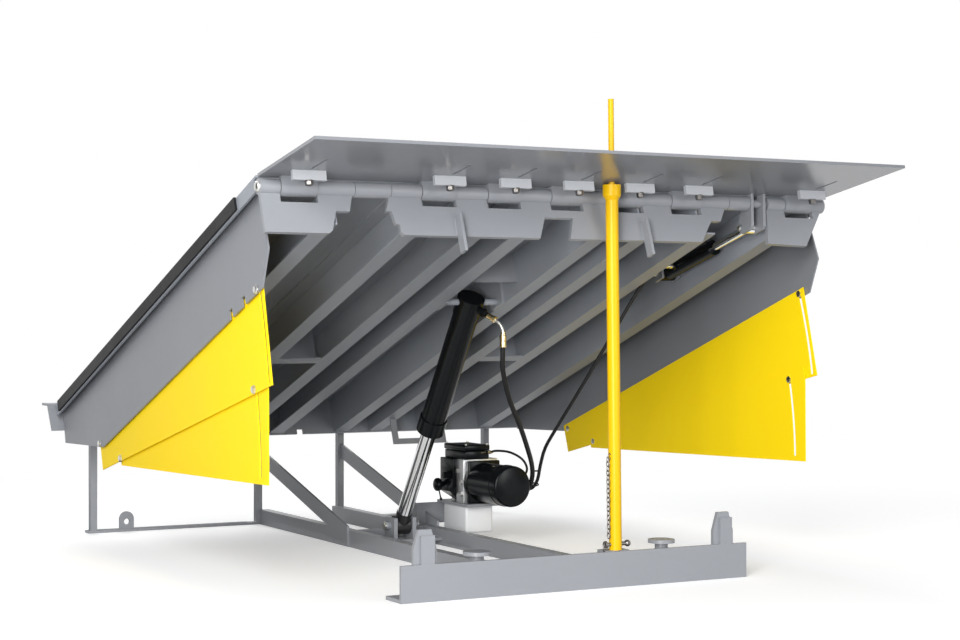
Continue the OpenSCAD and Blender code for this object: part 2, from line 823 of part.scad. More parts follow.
module header_tubes() {
    half = window_w / 2;
    sleeve_gap = 2;
    from = [header_left, -knuckle_end + half, bare_left[1], -2 * knuckle_pitch + half, -knuckle_pitch + half,
        half, knuckle_pitch + half, 2 * knuckle_pitch + half, bare_right[1], knuckle_end + half];
    to = [-knuckle_end - half, bare_left[0], -2 * knuckle_pitch - half, -knuckle_pitch - half, -half,
        knuckle_pitch - half, 2 * knuckle_pitch - half, bare_right[0], knuckle_end - half, header_right];
    color(paint)
    on_deck() translate([0, -deck_length, 0]) {
        for (i = [0:len(from) - 1]) header_tube(from[i], to[i]);
        header_tube(bare_left[0] + sleeve_gap, bare_left[1] - sleeve_gap);
        header_tube(bare_right[0] + sleeve_gap, lip_cyl_x - lug_gap / 2 - lug_t - sleeve_gap);
    }
}

module hinge_pin() {
    color(steel)
    on_deck() translate([0, -deck_length, 0]) x_bar(22 - deck_half_w, deck_half_w - 22, hinge_pin_r);
}

module side_skirt() {
    difference() {
        side_plate(skirt_half_w - skirt_t, skirt_t) polygon([
            [skirt_front, deck_under], skirt_nose, [skirt_chin, skirt_low],
            [skirt_heel, skirt_low], skirt_rear, [-4, deck_under]]);
        for (p = [upper_pivot, upper_bolt])
            translate([0, p[0], p[1]]) x_bar(skirt_half_w - 50, skirt_half_w + 50, guard_bolt_r + run);
        for (y = skirt_notches)
            translate([skirt_half_w - 50, y - skirt_notch_w / 2, skirt_low - 1])
                cube([100, skirt_notch_w, skirt_notch_h + 1]);
    }
}

module side_skirt_left() color(shade) on_deck() mirror([1, 0, 0]) side_skirt();

module side_skirt_right() color(shade) on_deck() side_skirt();

// Strip along the outer face of each edge bar
module side_seals() {
    front = -deck_length + 180;
    back = -60;
    low = deck_rise - edge_bar_depth + 6;
    color(black)
    on_deck() both_sides() translate([deck_half_w, front, low])
        cube([seal_t, back - front, deck_rise + 2 - low]);
}

module rear_hinge_tube() {
    half = deck_half_w - 72;
    color(shade)
    on_deck() x_bar(-half, half, rear_tube_r);
}

// Lip

// Plate with a hole for the strut's rod and a slot before each knuckle
module lip_plate() {
    slot_w = 10;
    slot_y = [-238, -118];
    color(shade)
    difference() {
        on_lip() difference() {
            translate([-deck_half_w, -lip_length, lip_under]) cube([2 * deck_half_w, lip_length - 4, lip_t]);
            for (x = knuckle_x) translate([x - slot_w / 2, slot_y[0], lip_under - 1])
                cube([slot_w, slot_y[1] - slot_y[0], lip_t + 2]);
        }
        on_strut() translate([0, 0, strut_l - 20]) cylinder(r = strut_rod_r + 4, h = 200);
    }
}

module lip_knuckles() {
    color(paint)
    on_lip() for (x = knuckle_x) difference() {
        union() {
            x_bar(x - knuckle_w / 2, x + knuckle_w / 2, knuckle_r);
            translate([x - knuckle_w / 2, -knuckle_r, 0]) cube([knuckle_w, knuckle_r - 4, lip_under]);
        }
        x_bar(x - knuckle_w, x + knuckle_w, hinge_pin_r + fit);
    }
}

module lip_stops() {
    bar_w = 110;
    bar_y = -104;
    color(pale)
    on_lip() for (x = knuckle_x)
        translate([x - bar_w / 2, bar_y, lip_under - 30]) cube([bar_w, 14, 30]);
}

module lip_lug() {
    polygon([[-30, lip_under], [0, lip_under], [30, 0], [lip_eye[0] + 24, lip_eye[1]],
        [lip_eye[0], lip_eye[1] - 22], [-2, lip_eye[1] - 17], [-14, lip_eye[1] - 5]]);
}

module lip_lugs() {
    color(paint)
    on_lip() difference() {
        for (x = [lip_cyl_x - lug_gap / 2 - lug_t, lip_cyl_x + lug_gap / 2]) side_plate(x, lug_t) lip_lug();
        x_bar(lip_cyl_x - 100, lip_cyl_x + 100, hinge_pin_r + fit);
        translate([0, lip_eye[0], lip_eye[1]]) x_bar(lip_cyl_x - 100, lip_cyl_x + 100, lip_pin_r + run);
    }
}

// Lip cylinder

module lip_barrel() {
    color(black)
    on_lip_cyl() difference() {
        union() {
            translate([0, 0, 24]) cylinder(r = lip_barrel_r, h = 290);
            translate([0, 0, lip_port_at]) x_bar(-lip_barrel_r - 6, 0, 14);
            x_bar(-lip_barrel_r, lip_barrel_r, 26);
        }
        x_bar(-50, 50, lip_pin_r + run);
        translate([0, 0, 200]) cylinder(r = lip_rod_r + fit, h = 200);
    }
}

module lip_rod() {
    color(steel)
    on_lip_cyl() difference() {
        union() {
            translate([0, 0, 220]) cylinder(r = lip_rod_r, h = lip_cyl_l - 220);
            translate([0, 0, lip_cyl_l]) x_bar(-18, 18, 20);
        }
        translate([0, 0, lip_cyl_l]) x_bar(-50, 50, lip_pin_r + run);
    }
}

// Toe guards

// An arc slot round the pivot, from the bolt's place at rest down by the travel
module arc_slot(pivot, r, a, travel, x) {
    slot_r = guard_bolt_r + slot_clear;
    steps = 8;
    cap = 15;
    outline = concat(
        [for (k = [0:steps]) (r + slot_r) * polar(travel * k / steps)],
        [for (k = [cap:cap:180 - cap]) r * polar(travel) + slot_r * polar(travel + k)],
        [for (k = [steps:-1:0]) (r - slot_r) * polar(travel * k / steps)],
        [for (k = [180 + cap:cap:360 - cap]) r * polar(0) + slot_r * polar(k)]);
    translate([x - 20, pivot[0], pivot[1]]) rotate([90, 0, 90]) linear_extrude(40)
        rotate(180 + a) polygon(outline);
}

module upper_guard() {
    difference() {
        side_plate(upper_x - guard_t, guard_t) polygon([
            guard_corner, guard_toe, guard_heel, [upper_pivot[0] + 32, upper_pivot[1] + 22]]);
        translate([0, upper_pivot[0], upper_pivot[1]]) x_bar(upper_x - 50, upper_x + 50, guard_bolt_r + run);
        arc_slot(upper_pivot, upper_r, upper_a, upper_travel + slot_spare, upper_x);
        for (p = [lower_pivot, lower_bolt])
            translate([0, p[0], p[1]]) x_bar(upper_x - 50, upper_x + 50, guard_bolt_r + run);
    }
}

module lower_guard() {
    difference() {
        side_plate(lower_x - guard_t, guard_t) polygon([
            [lower_pivot[0] + 26, lower_pivot[1] + 22], [lower_pivot[0] + 26, lower_pivot[1] - 20],
            lower_toe, lower_corner, [lower_corner[0] - 8, lower_corner[1] + 45]]);
        translate([0, lower_pivot[0], lower_pivot[1]]) x_bar(lower_x - 50, lower_x + 50, guard_bolt_r + run);
        arc_slot(lower_pivot, lower_r, lower_a, lower_travel + slot_spare, lower_x);
    }
}

// A bolt through two plates with a spacer between them
module guard_bolt(p, outer_x, plate_t) {
    inner_x = outer_x - plate_t - guard_gap - guard_t;
    translate([0, p[0], p[1]]) {
        x_bar(inner_x - 4, outer_x + 3, guard_bolt_r);
        x_bar(outer_x, outer_x + 5, guard_bolt_r + 4);
        x_bar(outer_x - plate_t - guard_gap + 0.3, outer_x - plate_t, guard_bolt_r + 5);
        x_bar(inner_x - 4.3, inner_x - 0.3, guard_bolt_r + 5);
    }
}

module guard_bolts() {
    color(steel)
    on_deck() both_sides() for (p = [upper_pivot, upper_bolt]) guard_bolt(p, skirt_half_w, skirt_t);
}

module guard_links() {
    for (p = [lower_pivot, lower_bolt]) guard_bolt(p, upper_x, guard_t);
}

module toe_guard_upper_left() color(yellow) on_deck() mirror([1, 0, 0]) upper_guard();

module toe_guard_upper_right() color(yellow) on_deck() upper_guard();

module toe_guard_lower_left() color(yellow) on_deck() mirror([1, 0, 0]) lower_guard();

module toe_guard_lower_right() color(yellow) on_deck() lower_guard();

module guard_links_left() color(steel) on_deck() mirror([1, 0, 0]) guard_links();

module guard_links_right() color(steel) on_deck() guard_links();

front_angle();
lip_keepers();
bumper_stands();
frame_rail_left();
frame_rail_right();
frame_brace_left();
frame_brace_right();
rear_posts();
rear_base_bars();
lifting_eyes();
rear_hinge_beam();
cylinder_clevis();
strut_socket();
strut_tube();
strut_rod();
strut_pin();
pump_bracket();
pump_motor();
pump_manifold();
control_box();
pump_valve();
pump_tank();
pump_ports();
lift_barrel();
lift_rod();
lift_pins();
lift_fitting();
lift_hose();
lip_fitting();
lip_hose();
deck_plate();
deck_beams();
deck_stiffeners();
deck_rear_plate();
hose_strap();
cylinder_brackets();
header_plate();
header_tubes();
hinge_pin();
side_skirt_left();
side_skirt_right();
side_seals();
rear_hinge_tube();
lip_plate();
lip_knuckles();
lip_stops();
lip_lugs();
lip_barrel();
lip_rod();
stop_legs();
guard_bolts();
toe_guard_upper_left();
toe_guard_upper_right();
toe_guard_lower_left();
toe_guard_lower_right();
guard_links_left();
guard_links_right();
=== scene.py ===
# %% [markdown]
# # A dock leveler, dressed for its portrait
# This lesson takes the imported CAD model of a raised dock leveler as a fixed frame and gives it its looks.
# The CAD solids stay where they are. What is added here is what CAD leaves plain: hoses, bolts,
# fittings, welds, tread and the finish of every surface.

# %% Load the frame
import json
import math
import bpy
import bmesh
from mathutils import Matrix, Vector

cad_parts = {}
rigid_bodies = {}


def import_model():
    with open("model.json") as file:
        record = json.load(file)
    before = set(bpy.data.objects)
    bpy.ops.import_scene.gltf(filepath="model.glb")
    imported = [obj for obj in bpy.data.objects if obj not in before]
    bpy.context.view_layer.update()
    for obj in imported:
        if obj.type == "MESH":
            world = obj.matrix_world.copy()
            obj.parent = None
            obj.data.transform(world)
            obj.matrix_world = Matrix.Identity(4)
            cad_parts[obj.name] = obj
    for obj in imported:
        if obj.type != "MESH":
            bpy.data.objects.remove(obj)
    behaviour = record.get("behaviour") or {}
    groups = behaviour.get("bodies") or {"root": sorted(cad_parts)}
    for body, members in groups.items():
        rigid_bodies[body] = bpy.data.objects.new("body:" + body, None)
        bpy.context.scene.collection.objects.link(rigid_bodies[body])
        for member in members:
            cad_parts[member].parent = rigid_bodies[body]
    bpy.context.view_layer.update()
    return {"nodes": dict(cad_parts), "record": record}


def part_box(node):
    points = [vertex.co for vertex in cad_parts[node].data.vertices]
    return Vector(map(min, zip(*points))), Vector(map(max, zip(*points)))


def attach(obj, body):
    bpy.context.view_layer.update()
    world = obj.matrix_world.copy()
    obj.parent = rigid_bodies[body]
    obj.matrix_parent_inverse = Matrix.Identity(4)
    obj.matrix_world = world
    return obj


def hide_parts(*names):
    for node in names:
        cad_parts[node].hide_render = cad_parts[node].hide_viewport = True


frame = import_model()
nodes = frame["nodes"]

# %% [markdown]
# ## The camera
# The photograph was taken from a little under a metre, well to the left of the leveler, with a long lens.
# The place and the lens were found by matching corners of the frame, so the camera needs no shift.

# %% Camera
camera_data = bpy.data.cameras.new("photo_camera")
camera_data.sensor_width = 36.0
camera_data.lens = 70.8
camera = bpy.data.objects.new("photo_camera", camera_data)
camera.location = (-3.184, -5.251, 0.872)
camera.rotation_euler = (math.radians(89.98), 0.0, math.radians(-28.39))
bpy.context.scene.collection.objects.link(camera)
bpy.context.scene.camera = camera
print("camera at", tuple(camera.location), "lens", camera_data.lens)

# %% [markdown]
# ## The frames of the deck, the lip, the lift cylinder and the strut
# The deck slopes, the lip slopes less, the cylinder leans back and the strut leans a little to the left.
# A piece that sits on one of them is easiest to place in that piece's own directions, so each gets a
# matrix, built from the same few sizes as the CAD model: the slope, the deck's length and the hinges.

# %% Frames
MM = 0.001
DECK_SLOPE = math.radians(19.8)
LIP_DROP = math.radians(9.7)
DECK_LENGTH = 2320 * MM
DECK_HALF_W = 1072 * MM
DECK_RISE = 39 * MM
LIP_HINGE_Y = 62 * MM
REAR_HINGE = Vector((0.0, LIP_HINGE_Y + DECK_LENGTH * math.cos(DECK_SLOPE), 486 * MM))
DECK = Matrix.Translation(REAR_HINGE) @ Matrix.Rotation(-DECK_SLOPE, 4, "X")
LIP = DECK @ Matrix.Translation((0.0, -DECK_LENGTH, 0.0)) @ Matrix.Rotation(LIP_DROP, 4, "X")
LIFT_FOOT = Vector((0.0, 1282 * MM, 82 * MM))
LIFT_HEAD = DECK @ Vector((0.0, -DECK_LENGTH + 730 * MM, -96 * MM))
LIFT_LENGTH = (LIFT_HEAD - LIFT_FOOT).length
LIFT_TILT = math.atan2(LIFT_FOOT.y - LIFT_HEAD.y, LIFT_HEAD.z - LIFT_FOOT.z)
LIFT = Matrix.Translation(LIFT_FOOT) @ Matrix.Rotation(LIFT_TILT, 4, "X")
STRUT_FOOT = Vector((143 * MM, -28 * MM, 118 * MM))
STRUT_LEAN = math.radians(-0.72)
STRUT = Matrix.Translation(STRUT_FOOT) @ Matrix.Rotation(STRUT_LEAN, 4, "Y")
LIP_CYL_X = DECK_HALF_W - 304 * MM
LIP_EYE = LIP @ Vector((LIP_CYL_X, 46 * MM, -75 * MM))
LIP_BASE = DECK @ Vector((LIP_CYL_X, -DECK_LENGTH + 587 * MM, -34 * MM))
LIP_CYL_TILT = math.atan2(LIP_BASE.y - LIP_EYE.y, LIP_EYE.z - LIP_BASE.z)
LIP_CYL = Matrix.Translation(LIP_BASE) @ Matrix.Rotation(LIP_CYL_TILT, 4, "X")
print("lift cylinder", round(LIFT_LENGTH, 3), "m, leaning", round(math.degrees(LIFT_TILT), 1), "degrees")

# %% [markdown]
# ## The hoses
# Two black hydraulic hoses run from the cylinders to the power pack, and a thin one loops over the motor
# from the control box to a fitting beside the manifold. Each is a fixed length of hose, screwed to a
# fitting at both ends, which hangs in a slack bow between them. A curve with a round bevel is the natural
# way to make one. The routes of the long hoses are lists of places, given as shares of the way across,
# along and down between the hose's two ends, and the hose follows them smoothly.

# %% Hose routes
PORT_TURN = math.radians(-59.4)
PORT_HEIGHT = LIFT_LENGTH - 10 * MM
ELBOW_REACH = 153 * MM
ELBOW = LIFT @ Vector((ELBOW_REACH * math.cos(PORT_TURN), ELBOW_REACH * math.sin(PORT_TURN), PORT_HEIGHT))
ELBOW_DROP = Vector((0.0, 0.0, 55 * MM))
PORTS_Y = 1220 * MM
LIFT_HOSE_ENDS = (ELBOW - ELBOW_DROP, Vector((426 * MM, PORTS_Y, 197 * MM)))
LIFT_HOSE_SHARES = [(0, 0, 0), (0, 0.004, 0.08), (0.035, 0.035, 0.19), (0.18, 0.11, 0.355),
    (0.44, 0.24, 0.53), (0.69, 0.4, 0.68), (0.88, 0.54, 0.785), (0.98, 0.63, 0.87), (1, 0.69, 0.95),
    (1, 0.775, 0.995), (1, 0.88, 1), (1, 1, 1)]
LIP_PORT = LIP_CYL @ Vector((-52 * MM, 0.0, 95 * MM))
LIP_HOSE_ENDS = (LIP_PORT, Vector((444 * MM, PORTS_Y, 216 * MM)))
LIP_HOSE_SHARES = [(0, 0, 0), (0.2, 0.002, 0.012), (0.42, 0.03, 0.1), (0.62, 0.09, 0.235),
    (0.78, 0.18, 0.38), (0.94, 0.32, 0.56), (1.03, 0.47, 0.71), (1.045, 0.575, 0.8), (1.025, 0.64, 0.88),
    (1.005, 0.685, 0.95), (1, 0.75, 0.992), (1, 0.84, 1), (1, 0.92, 1), (1, 1, 1)]
JUMPER_ENDS = (Vector((345 * MM, 1193 * MM, 355 * MM)), Vector((420.5 * MM, PORTS_Y, 250 * MM)))
JUMPER_MIDDLE = [(350, 1150, 363), (374, 1090, 360), (402, 1045, 336), (419, 1036, 300),
    (421.5, 1065, 268), (420.5, 1115, 253), (420.5, 1170, 250)]


def route_between(ends, shares):
    """Places on the way between two ends, each given as a share of it in x, y and z."""
    start, span = ends[0], ends[1] - ends[0]
    return [start + Vector([span[k] * share[k] for k in range(3)]) for share in shares]


def smooth_points(route, steps):
    """Points on the smooth curve through a route, with steps points from each corner to the next."""
    points = []
    for i in range(len(route) - 1):
        a, b = route[max(i - 1, 0)], route[i]
        c, d = route[i + 1], route[min(i + 2, len(route) - 1)]
        for k in range(steps):
            t = k / steps
            points.append(0.5 * (2 * b + (c - a) * t + (2 * a - 5 * b + 4 * c - d) * t * t
                + (3 * b - a - 3 * c + d) * t * t * t))
    points.append(route[-1])
    return points


def path_length(points):
    return sum((b - a).length for a, b in zip(points, points[1:]))


# %% Hoses
def round_line(name, points, radius):
    """A round hose or tube along points, as one curve with a bevel."""
    data = bpy.data.curves.new(name, "CURVE")
    data.dimensions = "3D"
    data.bevel_depth = radius
    data.bevel_resolution = 5
    data.use_fill_caps = True
    spline = data.splines.new("POLY")
    spline.points.add(len(points) - 1)
    for point, place in zip(spline.points, points):
        point.co = (*place, 1.0)
    spline.use_smooth = True
    piece = bpy.data.objects.new(name, data)
    bpy.context.scene.collection.objects.link(piece)
    print(name, "length", round(path_length(points), 3), "m,", len(points), "points")
    return piece


LIFT_HOSE_R = 9 * MM
LIP_HOSE_R = 6.5 * MM
JUMPER_R = 4.5 * MM
LONG_STEPS, SHORT_STEPS = 3, 4
lift_points = smooth_points(route_between(LIFT_HOSE_ENDS, LIFT_HOSE_SHARES), LONG_STEPS)
lip_points = smooth_points(route_between(LIP_HOSE_ENDS, LIP_HOSE_SHARES), LONG_STEPS)
lift_hose = round_line("lift_hose_line", lift_points, LIFT_HOSE_R)
lip_hose = round_line("lip_hose_line", lip_points, LIP_HOSE_R)
jumper_route = [JUMPER_ENDS[0], *[Vector(spot) * MM for spot in JUMPER_MIDDLE], JUMPER_ENDS[1]]
jumper_points = smooth_points(jumper_route, SHORT_STEPS)
jumper = round_line("jumper_line", jumper_points, JUMPER_R)
for piece, points, radius, node in ((lift_hose, lift_points, LIFT_HOSE_R, "lift_hose"),
        (lip_hose, lip_points, LIP_HOSE_R, "lip_hose"), (jumper, jumper_points, JUMPER_R, None)):
    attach(piece, "leveler")
    if node:
        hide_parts(node)

# %% [markdown]
# ## Floor, light and background
# A catalogue picture has a white ground and very soft light. The floor is a wide plane that looks white to
# the camera and in reflections, and stays darker as a bounce, so the deck's underside keeps its depth. Far
# from the leveler it turns into plain white, and only the near part carries a shadow.

# %% Clear the selection before modelling
def nothing_selected():
    """Leaves edit mode and deselects everything, because operators act on all that is selected."""
    if bpy.context.object and bpy.context.object.mode != "OBJECT":
        bpy.ops.object.mode_set(mode="OBJECT")
    bpy.ops.object.select_all(action="DESELECT")


nothing_selected()

# %% Node helpers
def add_node(tree, kind, **settings):
    node = tree.nodes.new(kind)
    for key, value in settings.items():
        setattr(node, key, value)
    return node


def join(tree, source, target):
    tree.links.new(source, target)


def math_node(tree, operation, first, second):
    """A Math node whose two inputs are sockets or plain numbers."""
    node = add_node(tree, "ShaderNodeMath", operation=operation)
    for slot, value in ((0, first), (1, second)):
        if isinstance(value, (int, float)):
            node.inputs[slot].default_value = value
        else:
            join(tree, value, node.inputs[slot])
    return node.outputs[0]


def seen_by(tree):
    """1 for what the camera, a reflection or a clear material looks at, 0 for bounced light."""
    path = add_node(tree, "ShaderNodeLightPath")
    mirror = math_node(tree, "MAXIMUM", path.outputs["Is Camera Ray"], path.outputs["Is Glossy Ray"])
    return math_node(tree, "MAXIMUM", mirror, path.outputs["Is Transmission Ray"])


# %% Floor
FLOOR_SIZE, FLOOR_Z = 120.0, -0.5 * MM
bpy.ops.mesh.primitive_plane_add(size=FLOOR_SIZE, location=(0.0, 0.0, FLOOR_Z))
floor = bpy.context.object
floor.name = "studio_floor"
bpy.ops.object.transform_apply(location=True, rotation=True, scale=True)

# %% Shaders of the floor
FADE_MIDDLE = (0.0, 1.0, 0.0)
FADE_START, FADE_END = 1.6, 4.0
floor_material = bpy.data.materials.new("studio_floor")
floor_material.use_nodes = True
floor_tree = floor_material.node_tree
floor_tree.nodes.clear()
floor_out = add_node(floor_tree, "ShaderNodeOutputMaterial")
bounce = add_node(floor_tree, "ShaderNodeBsdfDiffuse")
bounce.inputs["Color"].default_value = (0.48, 0.48, 0.49, 1.0)
near = add_node(floor_tree, "ShaderNodeBsdfDiffuse")
near.inputs["Color"].default_value = (0.80, 0.80, 0.80, 1.0)
glow = add_node(floor_tree, "ShaderNodeEmission")
glow.inputs["Strength"].default_value = 0.40
near_white = add_node(floor_tree, "ShaderNodeAddShader")
join(floor_tree, near.outputs[0], near_white.inputs[0])
join(floor_tree, glow.outputs[0], near_white.inputs[1])
far_white = add_node(floor_tree, "ShaderNodeEmission")
far_white.inputs["Strength"].default_value = 1.0
floor_place = add_node(floor_tree, "ShaderNodeTexCoord")
from_middle = add_node(floor_tree, "ShaderNodeVectorMath", operation="DISTANCE")
from_middle.inputs[1].default_value = FADE_MIDDLE
join(floor_tree, floor_place.outputs["Object"], from_middle.inputs[0])
fade = add_node(floor_tree, "ShaderNodeMapRange", interpolation_type="SMOOTHSTEP")
fade.inputs["From Min"].default_value = FADE_START
fade.inputs["From Max"].default_value = FADE_END
join(floor_tree, from_middle.outputs["Value"], fade.inputs["Value"])

# %% Floor as the camera and as the light see it
seen_floor = add_node(floor_tree, "ShaderNodeMixShader")
join(floor_tree, fade.outputs["Result"], seen_floor.inputs[0])
join(floor_tree, near_white.outputs[0], seen_floor.inputs[1])
join(floor_tree, far_white.outputs[0], seen_floor.inputs[2])
floor_mix = add_node(floor_tree, "ShaderNodeMixShader")
join(floor_tree, seen_by(floor_tree), floor_mix.inputs[0])
join(floor_tree, bounce.outputs[0], floor_mix.inputs[1])
join(floor_tree, seen_floor.outputs[0], floor_mix.inputs[2])
join(floor_tree, floor_mix.outputs[0], floor_out.inputs["Surface"])
floor.data.materials.append(floor_material)

# %% World
world = bpy.data.worlds.new("studio_world")
bpy.context.scene.world = world
world.use_nodes = True
world_tree = world.node_tree
world_tree.nodes.clear()
world_out = add_node(world_tree, "ShaderNodeOutputWorld")
world_white = add_node(world_tree, "ShaderNodeBackground")
world_white.inputs["Color"].default_value = (1.0, 1.0, 1.0, 1.0)
world_white.inputs["Strength"].default_value = 1.0
world_soft = add_node(world_tree, "ShaderNodeBackground")
world_soft.inputs["Color"].default_value = (0.96, 0.98, 1.0, 1.0)
world_soft.inputs["Strength"].default_value = 0.30
world_mix = add_node(world_tree, "ShaderNodeMixShader")
join(world_tree, seen_by(world_tree), world_mix.inputs[0])
join(world_tree, world_soft.outputs[0], world_mix.inputs[1])
join(world_tree, world_white.outputs[0], world_mix.inputs[2])
join(world_tree, world_mix.outputs[0], world_out.inputs["Surface"])
bpy.context.scene.view_settings.view_transform = "Standard"


# %% Lamps
def soft_box(name, place, aim, size, power):
    """A square area lamp at place that looks at aim."""
    lamp = bpy.data.lights.new(name, "AREA")
    lamp.shape = "SQUARE"
    lamp.size = size
    lamp.energy = power
    holder = bpy.data.objects.new(name, lamp)
    holder.location = place
    look = Vector(aim) - Vector(place)
    holder.rotation_euler = look.to_track_quat("-Z", "Y").to_euler()
    bpy.context.scene.collection.objects.link(holder)
    return holder


soft_box("key_box", (-4.6, -4.6, 3.4), (0.0, 0.4, 0.5), 3.0, 420.0)
soft_box("front_box", (2.2, -6.5, 1.6), (0.0, 0.0, 0.6), 2.5, 120.0)
soft_box("low_box", (-4.2, -4.8, 0.8), (1.0, 0.7, 0.5), 1.6, 240.0)
soft_box("back_box", (0.5, 6.5, 5.0), (0.0, 1.0, 0.8), 4.0, 260.0)

# %% [markdown]
# ## Finishes
# Every surface of a leveler is plain industrial stock: sprayed gray or yellow paint, black enamel, zinc,
# chrome, brass, cast alloy, plastic and rubber. What makes them real is small. Paint drifts a little in
# colour and has a fine orange peel. One node group makes the drift and the peel for all of them, and each
# finish sets its own amounts.

# %% A node group for drift and orange peel
def new_group(name, inputs, outputs):
    """An empty shader node group with named sockets."""
    group = bpy.data.node_groups.new(name, "ShaderNodeTree")
    for label, kind, value in inputs:
        socket = group.interface.new_socket(label, in_out="INPUT", socket_type=kind)
        socket.default_value = value
    for label, kind in outputs:
        group.interface.new_socket(label, in_out="OUTPUT", socket_type=kind)
    return group, group.nodes.new("NodeGroupInput"), group.nodes.new("NodeGroupOutput")


drift, drift_in, drift_out = new_group("sprayed_drift",
    [("Colour", "NodeSocketColor", (0.5, 0.5, 0.5, 1.0)), ("Depth", "NodeSocketFloat", 0.06),
        ("Roughness", "NodeSocketFloat", 0.35), ("Roughness Spread", "NodeSocketFloat", 0.08),
        ("Peel Scale", "NodeSocketFloat", 700.0)],
    [("Colour", "NodeSocketColor"), ("Roughness", "NodeSocketFloat"), ("Height", "NodeSocketFloat")])

# %% Noises in the group
FINE_SHARE = 0.35
place = add_node(drift, "ShaderNodeTexCoord")
broad = add_node(drift, "ShaderNodeTexNoise")
broad.inputs["Scale"].default_value = 2.3
broad.inputs["Detail"].default_value = 5.0
fine = add_node(drift, "ShaderNodeTexNoise")
fine.inputs["Scale"].default_value = 38.0
fine.inputs["Detail"].default_value = 3.0
peel = add_node(drift, "ShaderNodeTexNoise")
peel.inputs["Detail"].default_value = 1.0
for noise in (broad, fine, peel):
    join(drift, place.outputs["Object"], noise.inputs["Vector"])
join(drift, drift_in.outputs["Peel Scale"], peel.inputs["Scale"])
fine_part = math_node(drift, "MULTIPLY", fine.outputs["Fac"], FINE_SHARE)
mixed = math_node(drift, "ADD", broad.outputs["Fac"], fine_part)
centred = math_node(drift, "SUBTRACT", mixed, (1.0 + FINE_SHARE) / 2)
gain = math_node(drift, "ADD", math_node(drift, "MULTIPLY", centred, drift_in.outputs["Depth"]), 1.0)
tinted = add_node(drift, "ShaderNodeVectorMath", operation="SCALE")
join(drift, drift_in.outputs["Colour"], tinted.inputs[0])
join(drift, gain, tinted.inputs["Scale"])
join(drift, tinted.outputs[0], drift_out.inputs["Colour"])
satin = math_node(drift, "MULTIPLY", centred, drift_in.outputs["Roughness Spread"])
join(drift, math_node(drift, "ADD", satin, drift_in.outputs["Roughness"]), drift_out.inputs["Roughness"])
join(drift, peel.outputs["Fac"], drift_out.inputs["Height"])


# %% A finish built on that group
def finish(name, colour, roughness, spread, depth, peel_scale, bump, metallic=0.0, specular=0.5):
    """A material whose colour, roughness and bump come from the drift group."""
    material = bpy.data.materials.new(name)
    material.use_nodes = True
    tree = material.node_tree
    shader = tree.nodes["Principled BSDF"]
    shader.inputs["Metallic"].default_value = metallic
    shader.inputs["Specular IOR Level"].default_value = specular
    group = add_node(tree, "ShaderNodeGroup", node_tree=drift)
    group.inputs["Colour"].default_value = (*colour, 1.0)
    group.inputs["Depth"].default_value = depth
    group.inputs["Roughness"].default_value = roughness
    group.inputs["Roughness Spread"].default_value = spread
    group.inputs["Peel Scale"].default_value = peel_scale
    relief = add_node(tree, "ShaderNodeBump")
    relief.inputs["Strength"].default_value = bump
    relief.inputs["Distance"].default_value = 0.4 * MM
    join(tree, group.outputs["Colour"], shader.inputs["Base Color"])
    join(tree, group.outputs["Roughness"], shader.inputs["Roughness"])
    join(tree, group.outputs["Height"], relief.inputs["Height"])
    join(tree, relief.outputs["Normal"], shader.inputs["Normal"])
    return material


# %% [markdown]
# The numbers of a finish are its colour, its roughness and the spread of that, the depth of the drift,
# the scale of the orange peel and how far the peel stands out. The deck, the skirts, the lip and its stop
# bars have the frame's gray made lighter or darker: painted light on the deck and the stop bars, painted
# shade on the skirts and the lip.

# %% The finishes
CHROME = (0.84, 0.85, 0.86)
gray_paint = finish("gray_paint", (0.255, 0.265, 0.286), 0.38, 0.25, 0.12, 520.0, 0.08)
# The deck's copy of the frame's gray is lighter and bluer: painted light that lifts the shade on the deck's
# underside, beams, stiffeners, rear plate and lift pins.
deck_gray_painted_light = finish("deck_gray_painted_light", (0.262, 0.280, 0.312), 0.45, 0.25, 0.14, 420.0, 0.06)
# The skirts' copy of the frame's gray is darker: painted shade on their sides.
skirt_gray_painted_shade = finish("skirt_gray_painted_shade", (0.204, 0.213, 0.231), 0.40, 0.25, 0.12, 520.0, 0.08)
# The lip's copy of the frame's gray is darker: painted shade on the lip and its underside. Its low
# roughness is its own gloss.
lip_gray_painted_shade = finish("lip_gray_painted_shade", (0.205, 0.213, 0.230), 0.20, 0.12, 0.10, 420.0, 0.05)
# The stop bars' copy of the frame's gray is paler: painted light on the lip's front edge band.
stops_gray_painted_light = finish("stops_gray_painted_light", (0.45, 0.465, 0.49), 0.38, 0.2, 0.10, 520.0, 0.08)
yellow_paint = finish("yellow_paint", (1.0, 0.715, 0.006), 0.48, 0.12, 0.03, 620.0, 0.03,
    specular=0.12)
strut_paint = finish("strut_paint", (0.78, 0.462, 0.002), 0.36, 0.12, 0.03, 620.0, 0.03,
    specular=0.25)
black_enamel = finish("black_enamel", (0.004, 0.005, 0.006), 0.22, 0.2, 0.30, 380.0, 0.04,
    specular=0.16)
zinc_plate = finish("zinc_plate", (0.70, 0.70, 0.68), 0.34, 0.4, 0.20, 1400.0, 0.12, metallic=1.0)
chrome = finish("chrome", CHROME, 0.06, 0.05, 0.04, 900.0, 0.01, metallic=1.0)
brass = finish("brass", (0.70, 0.58, 0.34), 0.24, 0.25, 0.18, 900.0, 0.06, metallic=1.0)
cast_alloy = finish("cast_alloy", (0.72, 0.73, 0.74), 0.42, 0.4, 0.15, 1100.0, 0.25, metallic=1.0)
pale_plastic = finish("pale_plastic", (0.74, 0.75, 0.77), 0.40, 0.2, 0.05, 600.0, 0.05)
black_rubber = finish("black_rubber", (0.009, 0.009, 0.010), 0.55, 0.3, 0.35, 900.0, 0.2,
    specular=0.24)
